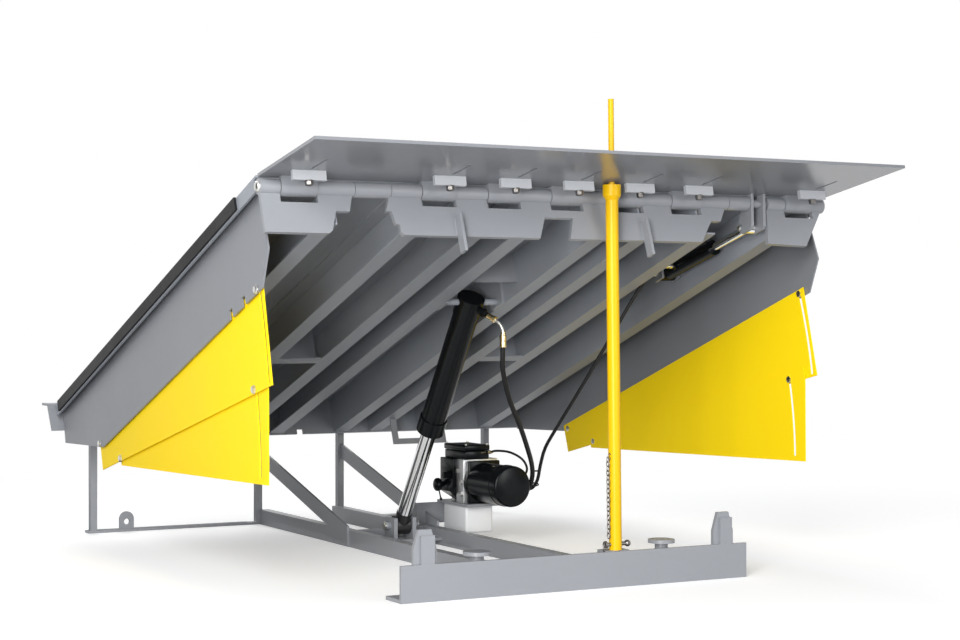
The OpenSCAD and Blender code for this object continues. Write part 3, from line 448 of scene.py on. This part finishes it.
dark_steel = finish("dark_steel", (0.22, 0.21, 0.20), 0.34, 0.4, 0.30, 900.0, 0.10, metallic=1.0)

# %% [markdown]
# ## Chrome above, black below
# The lift cylinder's rod is hard chrome, but the forged eye at its foot is painted black. Both are one
# solid, so one material holds both and switches by how far a point lies up the rod. The distance is a dot
# product of the Object coordinates with the rod's direction.

# %% Rod finish
EYE_TOP = 64 * MM
EYE_BLACK = (0.012, 0.012, 0.013, 1.0)
EYE_ROUGHNESS, ROD_ROUGHNESS = 0.36, 0.06
rod_finish = finish("rod_finish", CHROME, ROD_ROUGHNESS, 0.05, 0.04, 900.0, 0.01, metallic=1.0)
rod_tree = rod_finish.node_tree
rod_shader = rod_tree.nodes["Principled BSDF"]
rod_way = (LIFT_HEAD - LIFT_FOOT).normalized()
rod_place = add_node(rod_tree, "ShaderNodeTexCoord")
up_the_rod = add_node(rod_tree, "ShaderNodeVectorMath", operation="DOT_PRODUCT")
up_the_rod.inputs[1].default_value = rod_way
join(rod_tree, rod_place.outputs["Object"], up_the_rod.inputs[0])
above_eye = math_node(rod_tree, "GREATER_THAN", up_the_rod.outputs["Value"],
    LIFT_FOOT.dot(rod_way) + EYE_TOP)
rod_colour = add_node(rod_tree, "ShaderNodeMix", data_type="RGBA")
join(rod_tree, above_eye, rod_colour.inputs["Factor"])
rod_colour.inputs[6].default_value = EYE_BLACK
join(rod_tree, rod_shader.inputs["Base Color"].links[0].from_socket, rod_colour.inputs[7])
join(rod_tree, rod_colour.outputs[2], rod_shader.inputs["Base Color"])
join(rod_tree, above_eye, rod_shader.inputs["Metallic"])
smoother = math_node(rod_tree, "MULTIPLY", above_eye, EYE_ROUGHNESS - ROD_ROUGHNESS)
join(rod_tree, math_node(rod_tree, "SUBTRACT", EYE_ROUGHNESS, smoother), rod_shader.inputs["Roughness"])
print("rod finish switches", round(EYE_TOP * 1000), "mm above the foot pin")

# %% [markdown]
# ## Paint the frame
# The CAD nodes keep their shape and only get a finish, chosen by the record's slot of each one. A few nodes
# have a finish of their own: the deck and the stop bars get the frame's gray with painted light, and the
# skirts and the lip get it with painted shade.

# %% Finishes by slot
BY_SLOT = {"gray_paint": gray_paint, "yellow_paint": yellow_paint, "black_paint": black_enamel,
    "zinc": zinc_plate, "chrome": chrome, "brass": brass, "alloy": cast_alloy,
    "pale_plastic": pale_plastic, "black_rubber": black_rubber}
# The deck and stop-bar finishes carry painted light, and the skirt and lip finishes carry painted shade.
BY_NODE = {"lip_plate": lip_gray_painted_shade, "lip_stops": stops_gray_painted_light, "deck_plate": deck_gray_painted_light,
    "deck_beams": deck_gray_painted_light, "deck_stiffeners": deck_gray_painted_light, "deck_rear_plate": deck_gray_painted_light,
    "lift_rod": rod_finish, "hinge_pin": gray_paint, "lift_pins": deck_gray_painted_light, "strut_tube": strut_paint,
    "strut_rod": strut_paint, "strut_pin": dark_steel, "side_skirt_left": skirt_gray_painted_shade,
    "side_skirt_right": skirt_gray_painted_shade}


def paint(piece, material):
    piece.data.materials.clear()
    piece.data.materials.append(material)


for entry in frame["record"]["subparts"]:
    name = entry["node"]
    paint(nodes[name], BY_NODE.get(name, BY_SLOT[entry["material_slot"]]))
for piece in (lift_hose, lip_hose, jumper):
    paint(piece, black_rubber)

# %% [markdown]
# ## Turned pieces and blocks
# Bolts, nuts, ferrules and caps are all turned on a lathe or forged to a like shape. A turned piece can be
# spun from a profile or grown from a disc. Growing is simpler to follow: each step is an extrude
# upwards and a resize about the axis. With six sides instead of thirty-two, the same helper makes hexagons.

# %% Turned piece
CREASE = math.radians(35)


def turned(name, profile, sides=32):
    """A piece grown from a disc: each (radius, height) of a profile, in mm, is an extrude and a resize."""
    nothing_selected()
    radius, height = profile[0]
    bpy.ops.mesh.primitive_circle_add(vertices=sides, radius=radius * MM, fill_type="NGON",
        location=(0.0, 0.0, height * MM))
    piece = bpy.context.object
    piece.name = name
    bpy.ops.object.transform_apply(location=True, rotation=True, scale=True)
    bpy.ops.object.mode_set(mode="EDIT")
    bpy.ops.mesh.select_all(action="SELECT")
    for next_radius, next_height in profile[1:]:
        bpy.ops.mesh.extrude_region_move(
            TRANSFORM_OT_translate={"value": (0.0, 0.0, (next_height - height) * MM)})
        ratio = next_radius / radius
        bpy.ops.transform.resize(value=(ratio, ratio, 1.0), center_override=(0.0, 0.0, next_height * MM))
        radius, height = next_radius, next_height
    bpy.ops.mesh.select_all(action="SELECT")
    bpy.ops.mesh.normals_make_consistent(inside=False)
    bpy.ops.object.mode_set(mode="OBJECT")
    bpy.ops.object.shade_smooth_by_angle(angle=CREASE)
    return piece


# %% Block with eased edges
def block(name, low, high, ease):
    """A box between two corners whose edges are bevelled by ease."""
    nothing_selected()
    low, high = Vector(low), Vector(high)
    bpy.ops.mesh.primitive_cube_add(size=1.0, location=(low + high) / 2, scale=high - low)
    piece = bpy.context.object
    piece.name = name
    bpy.ops.object.transform_apply(location=True, rotation=True, scale=True)
    bpy.ops.object.mode_set(mode="EDIT")
    bpy.ops.mesh.select_all(action="SELECT")
    bpy.ops.mesh.bevel(offset=ease, segments=3, affect="EDGES")
    bpy.ops.object.mode_set(mode="OBJECT")
    bpy.ops.object.shade_smooth_by_angle(angle=CREASE)
    return piece


# %% Select, join and copy
def only(piece):
    """Selects one piece and makes it the active one."""
    nothing_selected()
    piece.select_set(True)
    bpy.context.view_layer.objects.active = piece


def joined(name, pieces):
    """Several pieces as one."""
    nothing_selected()
    for piece in pieces:
        piece.select_set(True)
    bpy.context.view_layer.objects.active = pieces[0]
    bpy.ops.object.join()
    pieces[0].name = name
    return pieces[0]


def stamped(name, master, places):
    """Copies of a master piece at several places, joined into one piece; the master is kept."""
    copies = []
    for spot in places:
        copy = bpy.data.objects.new(name, master.data.copy())
        copy.data.transform(spot)
        bpy.context.scene.collection.objects.link(copy)
        copies.append(copy)
    return joined(name, copies)


# %% Move and dress
def moved(piece, spot):
    """The same piece, with a new place in its mesh."""
    piece.data.transform(spot)
    return piece


def dress(piece, material, body="leveler", replaces=()):
    """Gives a finished piece its paint and the body it rides on."""
    paint(piece, material)
    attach(piece, body)
    for node in replaces:
        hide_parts(node)
    print(piece.name, len(piece.data.polygons), "faces on", body)
    return piece


# %% Places
def turn(degrees, axis):
    return Matrix.Rotation(math.radians(degrees), 4, axis)


def shift(x, y, z):
    """A move given in mm."""
    return Matrix.Translation((x * MM, y * MM, z * MM))


# %% [markdown]
# ## Bolts of the toe guards
# Each guard hangs on a shoulder bolt at the rear and slides on another at the front. What shows is a washer
# and a hexagon head outside, and a nut inside. One bolt and one nut are modelled and copied to every place.

# %% Bolt and nut masters
washer = turned("washer", [(12.6, 0), (14, 0.6), (14, 1.6), (12.6, 2.2)])
hexagon = turned("hexagon", [(12.4, 2.2), (12.4, 6.6), (10.6, 7.8), (6.0, 7.8)], sides=6)
bolt = joined("bolt_master", [washer, hexagon])
nut = turned("nut_master", [(11.0, 0), (12.6, 0.8), (12.6, 3.2), (11.0, 4.0)], sides=6)
SKIRT_X, GUARD_X = 1044, 1033
NUT_DROP = {SKIRT_X: 15.3, GUARD_X: 13.3}
UPPER_SPOTS = [(-443, -250), (-2137, -262)]
LOWER_SPOTS = [(-636, -365), (-1990, -536)]


def side_spot(side, x, spot, outwards):
    """A place on the deck's side at x, looking out from the middle or in towards it."""
    way = 90 * side if outwards else -90 * side
    return DECK @ shift(side * x, *spot) @ turn(way, "Y")


# %% Bolts on both sides
for side, word in ((-1, "left"), (1, "right")):
    for x, spots, body, level in ((SKIRT_X, UPPER_SPOTS, "leveler", "upper"),
            (GUARD_X, LOWER_SPOTS, "upper_guard_" + word, "lower")):
        heads = stamped("guard_%s_bolts_%s" % (level, word), bolt,
            [side_spot(side, x, spot, True) for spot in spots])
        dress(heads, zinc_plate, body)
        inner = stamped("guard_%s_nuts_%s" % (level, word), nut,
            [side_spot(side, x - NUT_DROP[x], spot, False) for spot in spots])
        dress(inner, zinc_plate, body)

# %% [markdown]
# ## Bolts of the stop bars
# Seven stop bars are bolted under the lip, one before each knuckle. A bolt head sits under each of them,
# twice as tall as those of the guards.

# %% Stop bolts
KNUCKLE_X = [-946, -470, -235, 0, 235, 470, 946]
STOP_BOLT_Y, STOP_BOLT_Z = -97, -1
taller = Matrix.Scale(2.0, 4, (0, 0, 1))
stop_bolts = stamped("stop_bolts", bolt,
    [LIP @ shift(x, STOP_BOLT_Y, STOP_BOLT_Z) @ turn(180, "X") @ taller for x in KNUCKLE_X])
dress(stop_bolts, dark_steel)

# %% [markdown]
# ## Ends of the hinge pin
# The lip turns on one long pin. A domed cap closes the tube at each end of it.

# %% Pin caps
PIN_Y, PIN_Z = 62.0, 1271.9
PIN_ENDS = ((-1071, -90), (1058, 90))
cap = turned("cap_master", [(17, 0), (17, 3.5), (14.5, 7.5), (9, 10), (3, 11)])
caps = stamped("hinge_pin_caps", cap,
    [shift(x, PIN_Y, PIN_Z) @ turn(degrees, "Y") for x, degrees in PIN_ENDS])
dress(caps, zinc_plate)

# %% [markdown]
# ## The strut's chain and rings
# The pull pin at the strut's foot hangs on a short chain so it can't be lost. Links, rings and ties are all
# hoops, so one helper makes them. The link's two halves are then moved apart in edit mode, which leaves
# straight sides. Every second link is turned.

# %% Hoop
def hoop(name, radius, wire, segments, sides, stretch):
    """A torus, sized in mm, drawn out along the three axes by stretch."""
    nothing_selected()
    bpy.ops.mesh.primitive_torus_add(major_radius=radius * MM, minor_radius=wire * MM,
        major_segments=segments, minor_segments=sides)
    piece = bpy.context.object
    piece.name = name
    bpy.ops.object.mode_set(mode="EDIT")
    bpy.ops.mesh.select_all(action="SELECT")
    bpy.ops.transform.resize(value=stretch, center_override=(0.0, 0.0, 0.0))
    bpy.ops.object.mode_set(mode="OBJECT")
    bpy.ops.object.shade_smooth_by_angle(angle=math.radians(60))
    return piece


# %% Chain link
LINK_R, LINK_WIRE, LINK_HALF = 5.0, 1.7, 4.0
link = hoop("link_master", LINK_R, LINK_WIRE, 16, 8, (1.0, 1.0, 1.0))
bpy.ops.object.mode_set(mode="EDIT")
for sign in (-1, 1):
    bpy.ops.mesh.select_all(action="DESELECT")
    cage = bmesh.from_edit_mesh(link.data)
    for vert in cage.verts:
        vert.select_set(vert.co.y * sign > 0.0001)
    cage.select_flush(True)
    bmesh.update_edit_mesh(link.data)
    bpy.ops.transform.translate(value=(0.0, sign * LINK_HALF * MM, 0.0))
bpy.ops.object.mode_set(mode="OBJECT")
moved(link, turn(90, "X"))

# %% Chain
LINK_PITCH = 2 * (LINK_R + LINK_HALF - LINK_WIRE)
CHAIN_X, CHAIN_Y, CHAIN_TOP, CHAIN_FOOT = -30.5, -7, 297, 26
CHAIN_TURN = 20
links = int((CHAIN_TOP - CHAIN_FOOT) / LINK_PITCH)
chain = stamped("strut_chain", link,
    [STRUT @ shift(CHAIN_X, CHAIN_Y, CHAIN_TOP - k * LINK_PITCH) @ turn(90 * (k % 2) + CHAIN_TURN, "Z")
        for k in range(links)])
dress(chain, dark_steel)

# %% Ring on the pull pin, and the chain's eye on the tube
ring = hoop("ring_master", 13, 2.2, 28, 8, (1.0, 1.25, 1.0))
on_pin = STRUT @ shift(-38, 0, 9) @ turn(90, "X") @ turn(25, "Y")
on_tube = STRUT @ shift(-25, -9, CHAIN_TOP + 10) @ turn(CHAIN_TURN, "Z") @ turn(90, "X")
rings = stamped("strut_rings", ring, [on_pin, on_tube @ Matrix.Scale(0.6, 4)])
dress(rings, dark_steel)

# %% [markdown]
# ## Hose ends
# The lift cylinder's port takes a black hexagon and a brass union, then a bent bright tube, then a brass
# ferrule that is pressed over the hose. The tube turns from the port's direction to straight down, so its
# route is two straight runs with a curve between them.

# %% Lift elbow
port_way = (LIFT.to_3x3() @ Vector((math.cos(PORT_TURN), math.sin(PORT_TURN), 0.0))).normalized()
down = Vector((0.0, 0.0, -1.0))
BEND, BEND_STEPS = 34 * MM, 12
ELBOW_NECK, ELBOW_R = 84 * MM, 6.5 * MM
FERRULE_DEPTH = 8 * MM
bend_in, bend_out = ELBOW - port_way * BEND, ELBOW + down * BEND
elbow_points = [ELBOW - port_way * ELBOW_NECK]
for k in range(BEND_STEPS + 1):
    t = k / BEND_STEPS
    elbow_points.append((1 - t) ** 2 * bend_in + 2 * t * (1 - t) * ELBOW + t * t * bend_out)
elbow_points.append(LIFT_HOSE_ENDS[0] - down * FERRULE_DEPTH)
elbow = round_line("lift_elbow", elbow_points, ELBOW_R)
paint(elbow, zinc_plate)
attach(elbow, "leveler")
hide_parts("lift_fitting")

# %% Nuts and ferrules
port_frame = LIFT @ shift(0, 0, PORT_HEIGHT / MM) @ Matrix.Rotation(PORT_TURN, 4, "Z") @ turn(90, "Y")
port_nut = turned("lift_port_nut", [(14, 58), (16, 59), (16, 72), (13, 74), (9, 74), (9, 84)], sides=6)
dress(moved(port_nut, port_frame), black_enamel)
port_union = turned("lift_port_union", [(9, 84), (11, 85), (11, 104), (9.5, 105), (9.5, 108), (12.5, 109),
    (12.5, 118), (8, 120)], sides=24)
dress(moved(port_union, port_frame), brass)
ferrule = turned("ferrule_master", [(9.6, -26), (11.6, -24), (11.6, -4), (10.4, -3), (10.4, 1), (12.6, 2),
    (12.6, 16), (9.5, 18), (8.5, 30)], sides=24)
lift_ferrule = stamped("lift_ferrule", ferrule, [Matrix.Translation(LIFT_HOSE_ENDS[0])])
dress(lift_ferrule, brass)
lip_end = Matrix.Translation(LIP_PORT) @ turn(90, "Y") @ Matrix.Scale(0.78, 4)
lip_ferrule = stamped("lip_ferrule", ferrule, [lip_end])
dress(lip_ferrule, zinc_plate)

# %% [markdown]
# ## The power pack
# A round black motor lies with its end to the viewer and a square flange at its back. Behind it stand a
# milled manifold block, a black control box on top of it, a valve body with a domed knob, and a pale tank.
# The CAD solids give the places, and here each gets its steps, seams and screws.

# %% Motor
PUMP_X, PUMP_REAR, MOTOR_Z = 330, 1237, 237
motor_frame = shift(PUMP_X, PUMP_REAR, MOTOR_Z) @ turn(90, "X")
casing = turned("motor_casing", [(80, 0), (82, 3), (82, 14), (77, 18), (77, 190), (80, 193), (80, 200),
    (78.5, 202), (78.5, 238), (77.5, 244), (74.5, 248), (70, 249.5), (20, 250)], sides=64)
FLANGE_LOW = Vector((PUMP_X - 67, PUMP_REAR - 22, MOTOR_Z - 81)) * MM
FLANGE_HIGH = Vector((PUMP_X + 70, PUMP_REAR, MOTOR_Z + 84)) * MM
flange = block("motor_flange", FLANGE_LOW, FLANGE_HIGH, 5 * MM)
motor = joined("motor_shell", [moved(casing, motor_frame), flange])
dress(motor, black_enamel, replaces=("pump_motor",))

# %% Control box in two layers
BASE_SHARE, BASE_INSET, LID_GAP = 0.58, 3 * MM, 1.2 * MM
box_low, box_high = [Vector(corner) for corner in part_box("control_box")]
split = box_low.z + BASE_SHARE * (box_high.z - box_low.z)
base = block("control_base", box_low + Vector((BASE_INSET, BASE_INSET, 0.0)),
    Vector((box_high.x - BASE_INSET, box_high.y - BASE_INSET, split)), 4 * MM)
lid = block("control_lid", Vector((box_low.x, box_low.y, split + LID_GAP)), box_high, 5 * MM)
control = joined("control_housing", [base, lid])
dress(control, black_enamel, replaces=("control_box",))
screw = turned("screw_master", [(4.2, 0), (4.8, 0.6), (4.8, 3.2), (3.6, 4.2), (2.2, 4.2), (2.0, 2.6)],
    sides=12)
lid_screws = stamped("control_screws", screw,
    [shift(x, y, box_high.z / MM) for x in (254, 346) for y in (1225, 1385)])
dress(lid_screws, zinc_plate)

# %% Manifold with plugs
manifold_low, manifold_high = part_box("pump_manifold")
manifold = block("manifold_block", manifold_low, manifold_high, 2 * MM)
dress(manifold, cast_alloy, replaces=("pump_manifold",))
plug = turned("plug_master", [(9, 0), (10.5, 0.8), (10.5, 6), (9, 7.2), (5, 7.2), (4.6, 3.0)], sides=6)
plugs = stamped("manifold_plugs", plug, [shift(manifold_low[0] / MM, y, z) @ turn(-90, "Y")
    for y, z in ((1255, 190), (1255, 235), (1280, 280))])
dress(plugs, zinc_plate)

# %% Valve body and knob
VALVE_X, VALVE_FRONT, VALVE_FOOT = PUMP_X - 95, 1297, 155
CORNER_CUT, CORNER_WAY = 42, (-0.52, 0.0, -0.85)
valve_body = block("valve_body", Vector((VALVE_X, VALVE_FRONT, VALVE_FOOT)) * MM,
    Vector((VALVE_X + 90, 1407, 327)) * MM, 3 * MM)
only(valve_body)
bpy.ops.object.mode_set(mode="EDIT")
bpy.ops.mesh.select_all(action="SELECT")
bpy.ops.mesh.bisect(plane_co=Vector((VALVE_X, VALVE_FRONT, VALVE_FOOT + CORNER_CUT)) * MM,
    plane_no=CORNER_WAY, clear_outer=True, use_fill=True)
bpy.ops.object.mode_set(mode="OBJECT")
knob = turned("valve_knob",
    [(10, 0), (10, 11), (23, 12), (26, 16), (26, 25), (24.5, 29), (19, 33), (9, 35)])
moved(knob, shift(VALVE_X, 1387, 220) @ turn(-90, "Y"))
cartridge = turned("valve_cartridge", [(17, 0), (18, 1), (18, 10), (14, 12), (14, 26), (11, 29)], sides=6)
moved(cartridge, shift(VALVE_X, 1325, 262) @ turn(-90, "Y"))
valve = joined("valve_assembly", [valve_body, knob, cartridge])
dress(valve, black_enamel, replaces=("pump_valve",))

# %% Lever under the knob
lever = turned("valve_lever",
    [(2.5, 0), (2.8, 2), (2.8, 40), (4.6, 43), (5.6, 47), (4.6, 51), (2.0, 53)], sides=16)
moved(lever, shift(VALVE_X - 18, 1387, 208) @ turn(180, "X") @ turn(14, "Y"))
dress(lever, black_enamel)

# %% Ends of the thin hose
thin_end = turned("thin_end",
    [(4.6, -12), (5.6, -11), (5.6, 0), (7.4, 1), (7.4, 11), (5.4, 12), (5.4, 22)], sides=6)
thin_ends = stamped("jumper_ends", thin_end,
    [Matrix.Translation(end) @ turn(-90, "X") for end in JUMPER_ENDS])
banjo = block("banjo", Vector((400, 1240, 238)) * MM, Vector((430, 1266, 262)) * MM, 3 * MM)
jumper_fittings = joined("jumper_fittings", [thin_ends, banjo])
dress(jumper_fittings, brass)

# %% Tank
tank_low, tank_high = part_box("pump_tank")
tank = block("tank_shell", tank_low, tank_high, 9 * MM)
dress(tank, pale_plastic, replaces=("pump_tank",))

# %% [markdown]
# ## Cylinder details
# The lift cylinder's gland has a wiper round the rod, its foot pin ends in bolt heads, and the lip
# cylinder's two pins have heads as well.

# %% Wiper
wiper = moved(turned("lift_wiper", [(31, 442), (36, 441), (44, 446), (46, 452)], sides=48), LIFT)
dress(wiper, black_enamel)


# %% Pin heads
def pin_ends(middle, half, size):
    """Places for a bolt head at both ends of a cross pin, each half the pin's length from its middle."""
    return [Matrix.Translation(middle) @ shift(side * half, 0, 0) @ turn(90 * side, "Y")
        @ Matrix.Scale(size, 4) for side in (-1, 1)]


pin_heads = stamped("foot_pin_heads", bolt, pin_ends(LIFT_FOOT, 65, 1.25))
dress(pin_heads, zinc_plate)
lip_pin_heads = stamped("lip_pin_heads", bolt, pin_ends(LIP_EYE, 37, 0.8) + pin_ends(LIP_BASE, 46, 0.8))
dress(lip_pin_heads, zinc_plate)

# %% [markdown]
# ## Hose ties
# The two hoses run together beside the motor, held by two plastic ties.

# %% Ties
tie = hoop("tie_master", 12.5, 1.8, 28, 6, (1.5, 0.9, 1.6))
ties = stamped("hose_ties", tie,
    [shift(436, 1001, 292) @ turn(-8, "X"), shift(436, 1012, 240) @ turn(25, "X")])
dress(ties, black_rubber)

# %% [markdown]
# ## Tread on the deck and the lip
# Trucks drive over the deck and the lip, so both tops are tread plate: short raised lugs that alternate in
# direction. There are hundreds, so a lug is a cube with its top drawn in, and two array modifiers
# repeat it. A second field, turned the other way and half a step on, completes the pattern.

# %% Tread lug
LUG_SIZE = Vector((24, 6.5, 1.6)) * MM
LUG_LIFT = 0.4 * MM
LUG_STEP = 46 * MM


def lug(degrees, corner):
    """One tread lug: a cube whose top face is drawn in."""
    nothing_selected()
    bpy.ops.mesh.primitive_cube_add(size=1.0, scale=LUG_SIZE)
    piece = bpy.context.object
    bpy.ops.object.transform_apply(location=True, rotation=True, scale=True)
    bpy.ops.object.mode_set(mode="EDIT")
    bpy.ops.mesh.select_all(action="DESELECT")
    cage = bmesh.from_edit_mesh(piece.data)
    for face in cage.faces:
        face.select_set(face.normal.z > 0.9)
    bmesh.update_edit_mesh(piece.data)
    bpy.ops.transform.resize(value=(0.72, 0.4, 1.0), center_override=(0.0, 0.0, LUG_SIZE.z / 2))
    bpy.ops.object.mode_set(mode="OBJECT")
    return moved(piece, Matrix.Translation(corner) @ turn(degrees, "Z"))


# %% Openings in the tread
def without_lugs(piece, bare):
    """Removes the lugs that stand where the plate has an opening, each given as a middle and half sizes."""
    only(piece)
    bpy.ops.object.mode_set(mode="EDIT")
    bpy.ops.mesh.select_all(action="DESELECT")
    cage = bmesh.from_edit_mesh(piece.data)
    for face in cage.faces:
        spot = face.calc_center_median()
        face.select_set(any(abs(spot.x - x) < half_x and abs(spot.y - y) < half_y
            for x, y, half_x, half_y in bare))
    bmesh.update_edit_mesh(piece.data)
    bpy.ops.mesh.select_linked()
    bpy.ops.mesh.delete(type="VERT")
    bpy.ops.object.mode_set(mode="OBJECT")
    return piece


# %% Tread field
def tread_field(name, surface, low, high, bare=()):
    """Two crossed arrays of lugs on a sloping top, between two corners given on that surface."""
    fields = []
    for degrees, offset in ((45, 0.0), (-45, LUG_STEP / 2)):
        piece = lug(degrees, Vector((low[0] + offset, low[1] + offset, DECK_RISE + LUG_LIFT)))
        only(piece)
        for axis, reach in ((0, high[0] - low[0] - offset), (1, high[1] - low[1] - offset)):
            rows = piece.modifiers.new("rows", "ARRAY")
            rows.use_relative_offset = False
            rows.use_constant_offset = True
            rows.constant_offset_displace = [LUG_STEP if k == axis else 0.0 for k in range(3)]
            rows.count = int(reach / LUG_STEP) + 1
            bpy.ops.object.modifier_apply(modifier=rows.name)
        fields.append(piece)
    return moved(without_lugs(joined(name, fields), bare), surface)


# %% Tread on both plates
TREAD_X, TREAD_EDGE = 1045 * MM, -25 * MM
DECK_TREAD_END, LIP_TREAD_END = -2290 * MM, -425 * MM
deck_tread = tread_field("deck_tread", DECK, (-TREAD_X, DECK_TREAD_END), (TREAD_X, TREAD_EDGE))
# The deck's tread takes the deck's gray with its painted light.
dress(deck_tread, deck_gray_painted_light)
SLOT_MIDDLE, SLOT_HALF_W, SLOT_HALF_L = -178 * MM, 8 * MM, 60 * MM
ROD_AT_LIP, ROD_HALF = 1.12, 24 * MM
rod_place = LIP.inverted() @ (STRUT @ Vector((0.0, 0.0, ROD_AT_LIP)))
lip_openings = [(x * MM, SLOT_MIDDLE, SLOT_HALF_W, SLOT_HALF_L) for x in KNUCKLE_X]
lip_openings.append((rod_place.x, rod_place.y, ROD_HALF, ROD_HALF))
lip_tread = tread_field("lip_tread", LIP, (-TREAD_X, LIP_TREAD_END), (TREAD_X, TREAD_EDGE), lip_openings)
# The lip's tread takes the lip's gray with its painted shade.
dress(lip_tread, lip_gray_painted_shade)

# %% [markdown]
# ## Weld beads
# The frame is welded from plate and tube, and the beads show at its joints. A bead is a run of small
# ripples, so a turned rod with a rippled profile, half sunk in the corner, reads as one.

# %% Weld bead
BEAD_R, BEAD_STEP = 3.2, 5
FLOOR_FRAME = Matrix.Identity(4)


def bead(name, start, end, surface=FLOOR_FRAME):
    """A rippled bead from start to end, both given in mm in the frame of a surface."""
    start, end = surface @ (Vector(start) * MM), surface @ (Vector(end) * MM)
    length = (end - start).length / MM
    steps = max(4, int(length / BEAD_STEP))
    profile = [(BEAD_R * (0.6 if k in (0, steps) else 1.0 if k % 2 else 0.86), length * k / steps)
        for k in range(steps + 1)]
    line = Matrix.Translation(start) @ (end - start).to_track_quat("Z", "Y").to_matrix().to_4x4()
    return moved(turned(name, profile, sides=8), line)


# %% Beads on the frame, the stop legs and the clevis
KEEPER_SIDES = [x + dx for x in (-562, 562) for dx in (-40, 40)]
POST_SIDES = [x + dx for x in (-910, -190, 190, 910) for dx in (-14, 14)]
LEG_SIDES = (-424, -414, 275, 285)
beads = [bead("keeper_bead", (x, -43, 20), (x, -43, 112)) for x in KEEPER_SIDES]
beads += [bead("post_bead", (x, 2267, 10), (x, 2291, 10)) for x in POST_SIDES]
beads += [bead("leg_bead", (x, -2328, -148), (x, -2328, -88), DECK) for x in LEG_SIDES]
for side in (-1, 1):
    beads.append(bead("clevis_bead", (side * 47, 1245, 32), (side * 47, 1319, 32)))
    beads.append(bead("rail_bead", (side * 148, 1225, 32), (side * 148, 1339, 32)))
welds = joined("frame_welds", beads)
dress(welds, gray_paint)

# %% [markdown]
# ## Dark flags for the chrome
# Chrome only looks like chrome when there is something dark for it to reflect. Three tall dark panels stand
# to the sides and in front: reflections see them, and the camera and the light don't.

# %% Flags
flag_material = bpy.data.materials.new("studio_flag")
flag_material.use_nodes = True
flag_shader = flag_material.node_tree.nodes["Principled BSDF"]
flag_shader.inputs["Base Color"].default_value = (0.01, 0.01, 0.01, 1.0)


def only_reflected(flag):
    """Makes a panel dark, and seen by reflections alone."""
    flag.data.materials.append(flag_material)
    flag.visible_camera = False
    flag.visible_diffuse = False
    flag.visible_shadow = False
    flag.visible_transmission = False


FLAG_HEIGHT = 3.0
for name, x, y, degrees, width in (("flag_left", -3.0, 0.6, 90, 2.4), ("flag_front", 0.6, -4.2, 0, 1.7),
        ("flag_right", 2.9, -2.2, 50, 0.9)):
    nothing_selected()
    bpy.ops.mesh.primitive_plane_add(size=1.0, location=(x, y, FLAG_HEIGHT / 2),
        rotation=(math.radians(90), 0.0, math.radians(degrees)))
    flag = bpy.context.object
    flag.name = name
    flag.scale = (width, FLAG_HEIGHT, 1.0)
    bpy.ops.object.transform_apply(location=True, rotation=True, scale=True)
    only_reflected(flag)

# %% [markdown]
# The rod leans towards the camera, so its front looks down and mirrors the floor close to its foot. A dark
# wedge on the floor that points at the foot turns into a dark streak along the rod. Three of them, again
# only seen by reflections, give the streaks that polished chrome shows.

# %% Wedges on the floor
WEDGE_Z = 12 * MM
WEDGES = {"wedge_left": [(-0.20, 1.32), (-0.30, 4.00), (-2.20, 4.00), (-2.20, 1.62)],
    "wedge_middle": [(-0.02, 1.22), (-0.03, 1.22), (-0.22, 0.78), (-0.06, 0.78)],
    "wedge_right": [(0.06, 1.20), (0.20, 0.84), (0.64, 1.06), (0.10, 1.24)]}
for name, corners in WEDGES.items():
    nothing_selected()
    bpy.ops.mesh.primitive_circle_add(vertices=4, radius=1.0, fill_type="NGON", location=(0.0, 0.0, 0.0))
    wedge = bpy.context.object
    wedge.name = name
    for vert, corner in zip(wedge.data.vertices, corners):
        vert.co = (*corner, WEDGE_Z)
    only_reflected(wedge)

# %% Put the masters away
for master in (bolt, nut, cap, link, ring, ferrule, screw, plug, thin_end, tie):
    bpy.data.objects.remove(master)
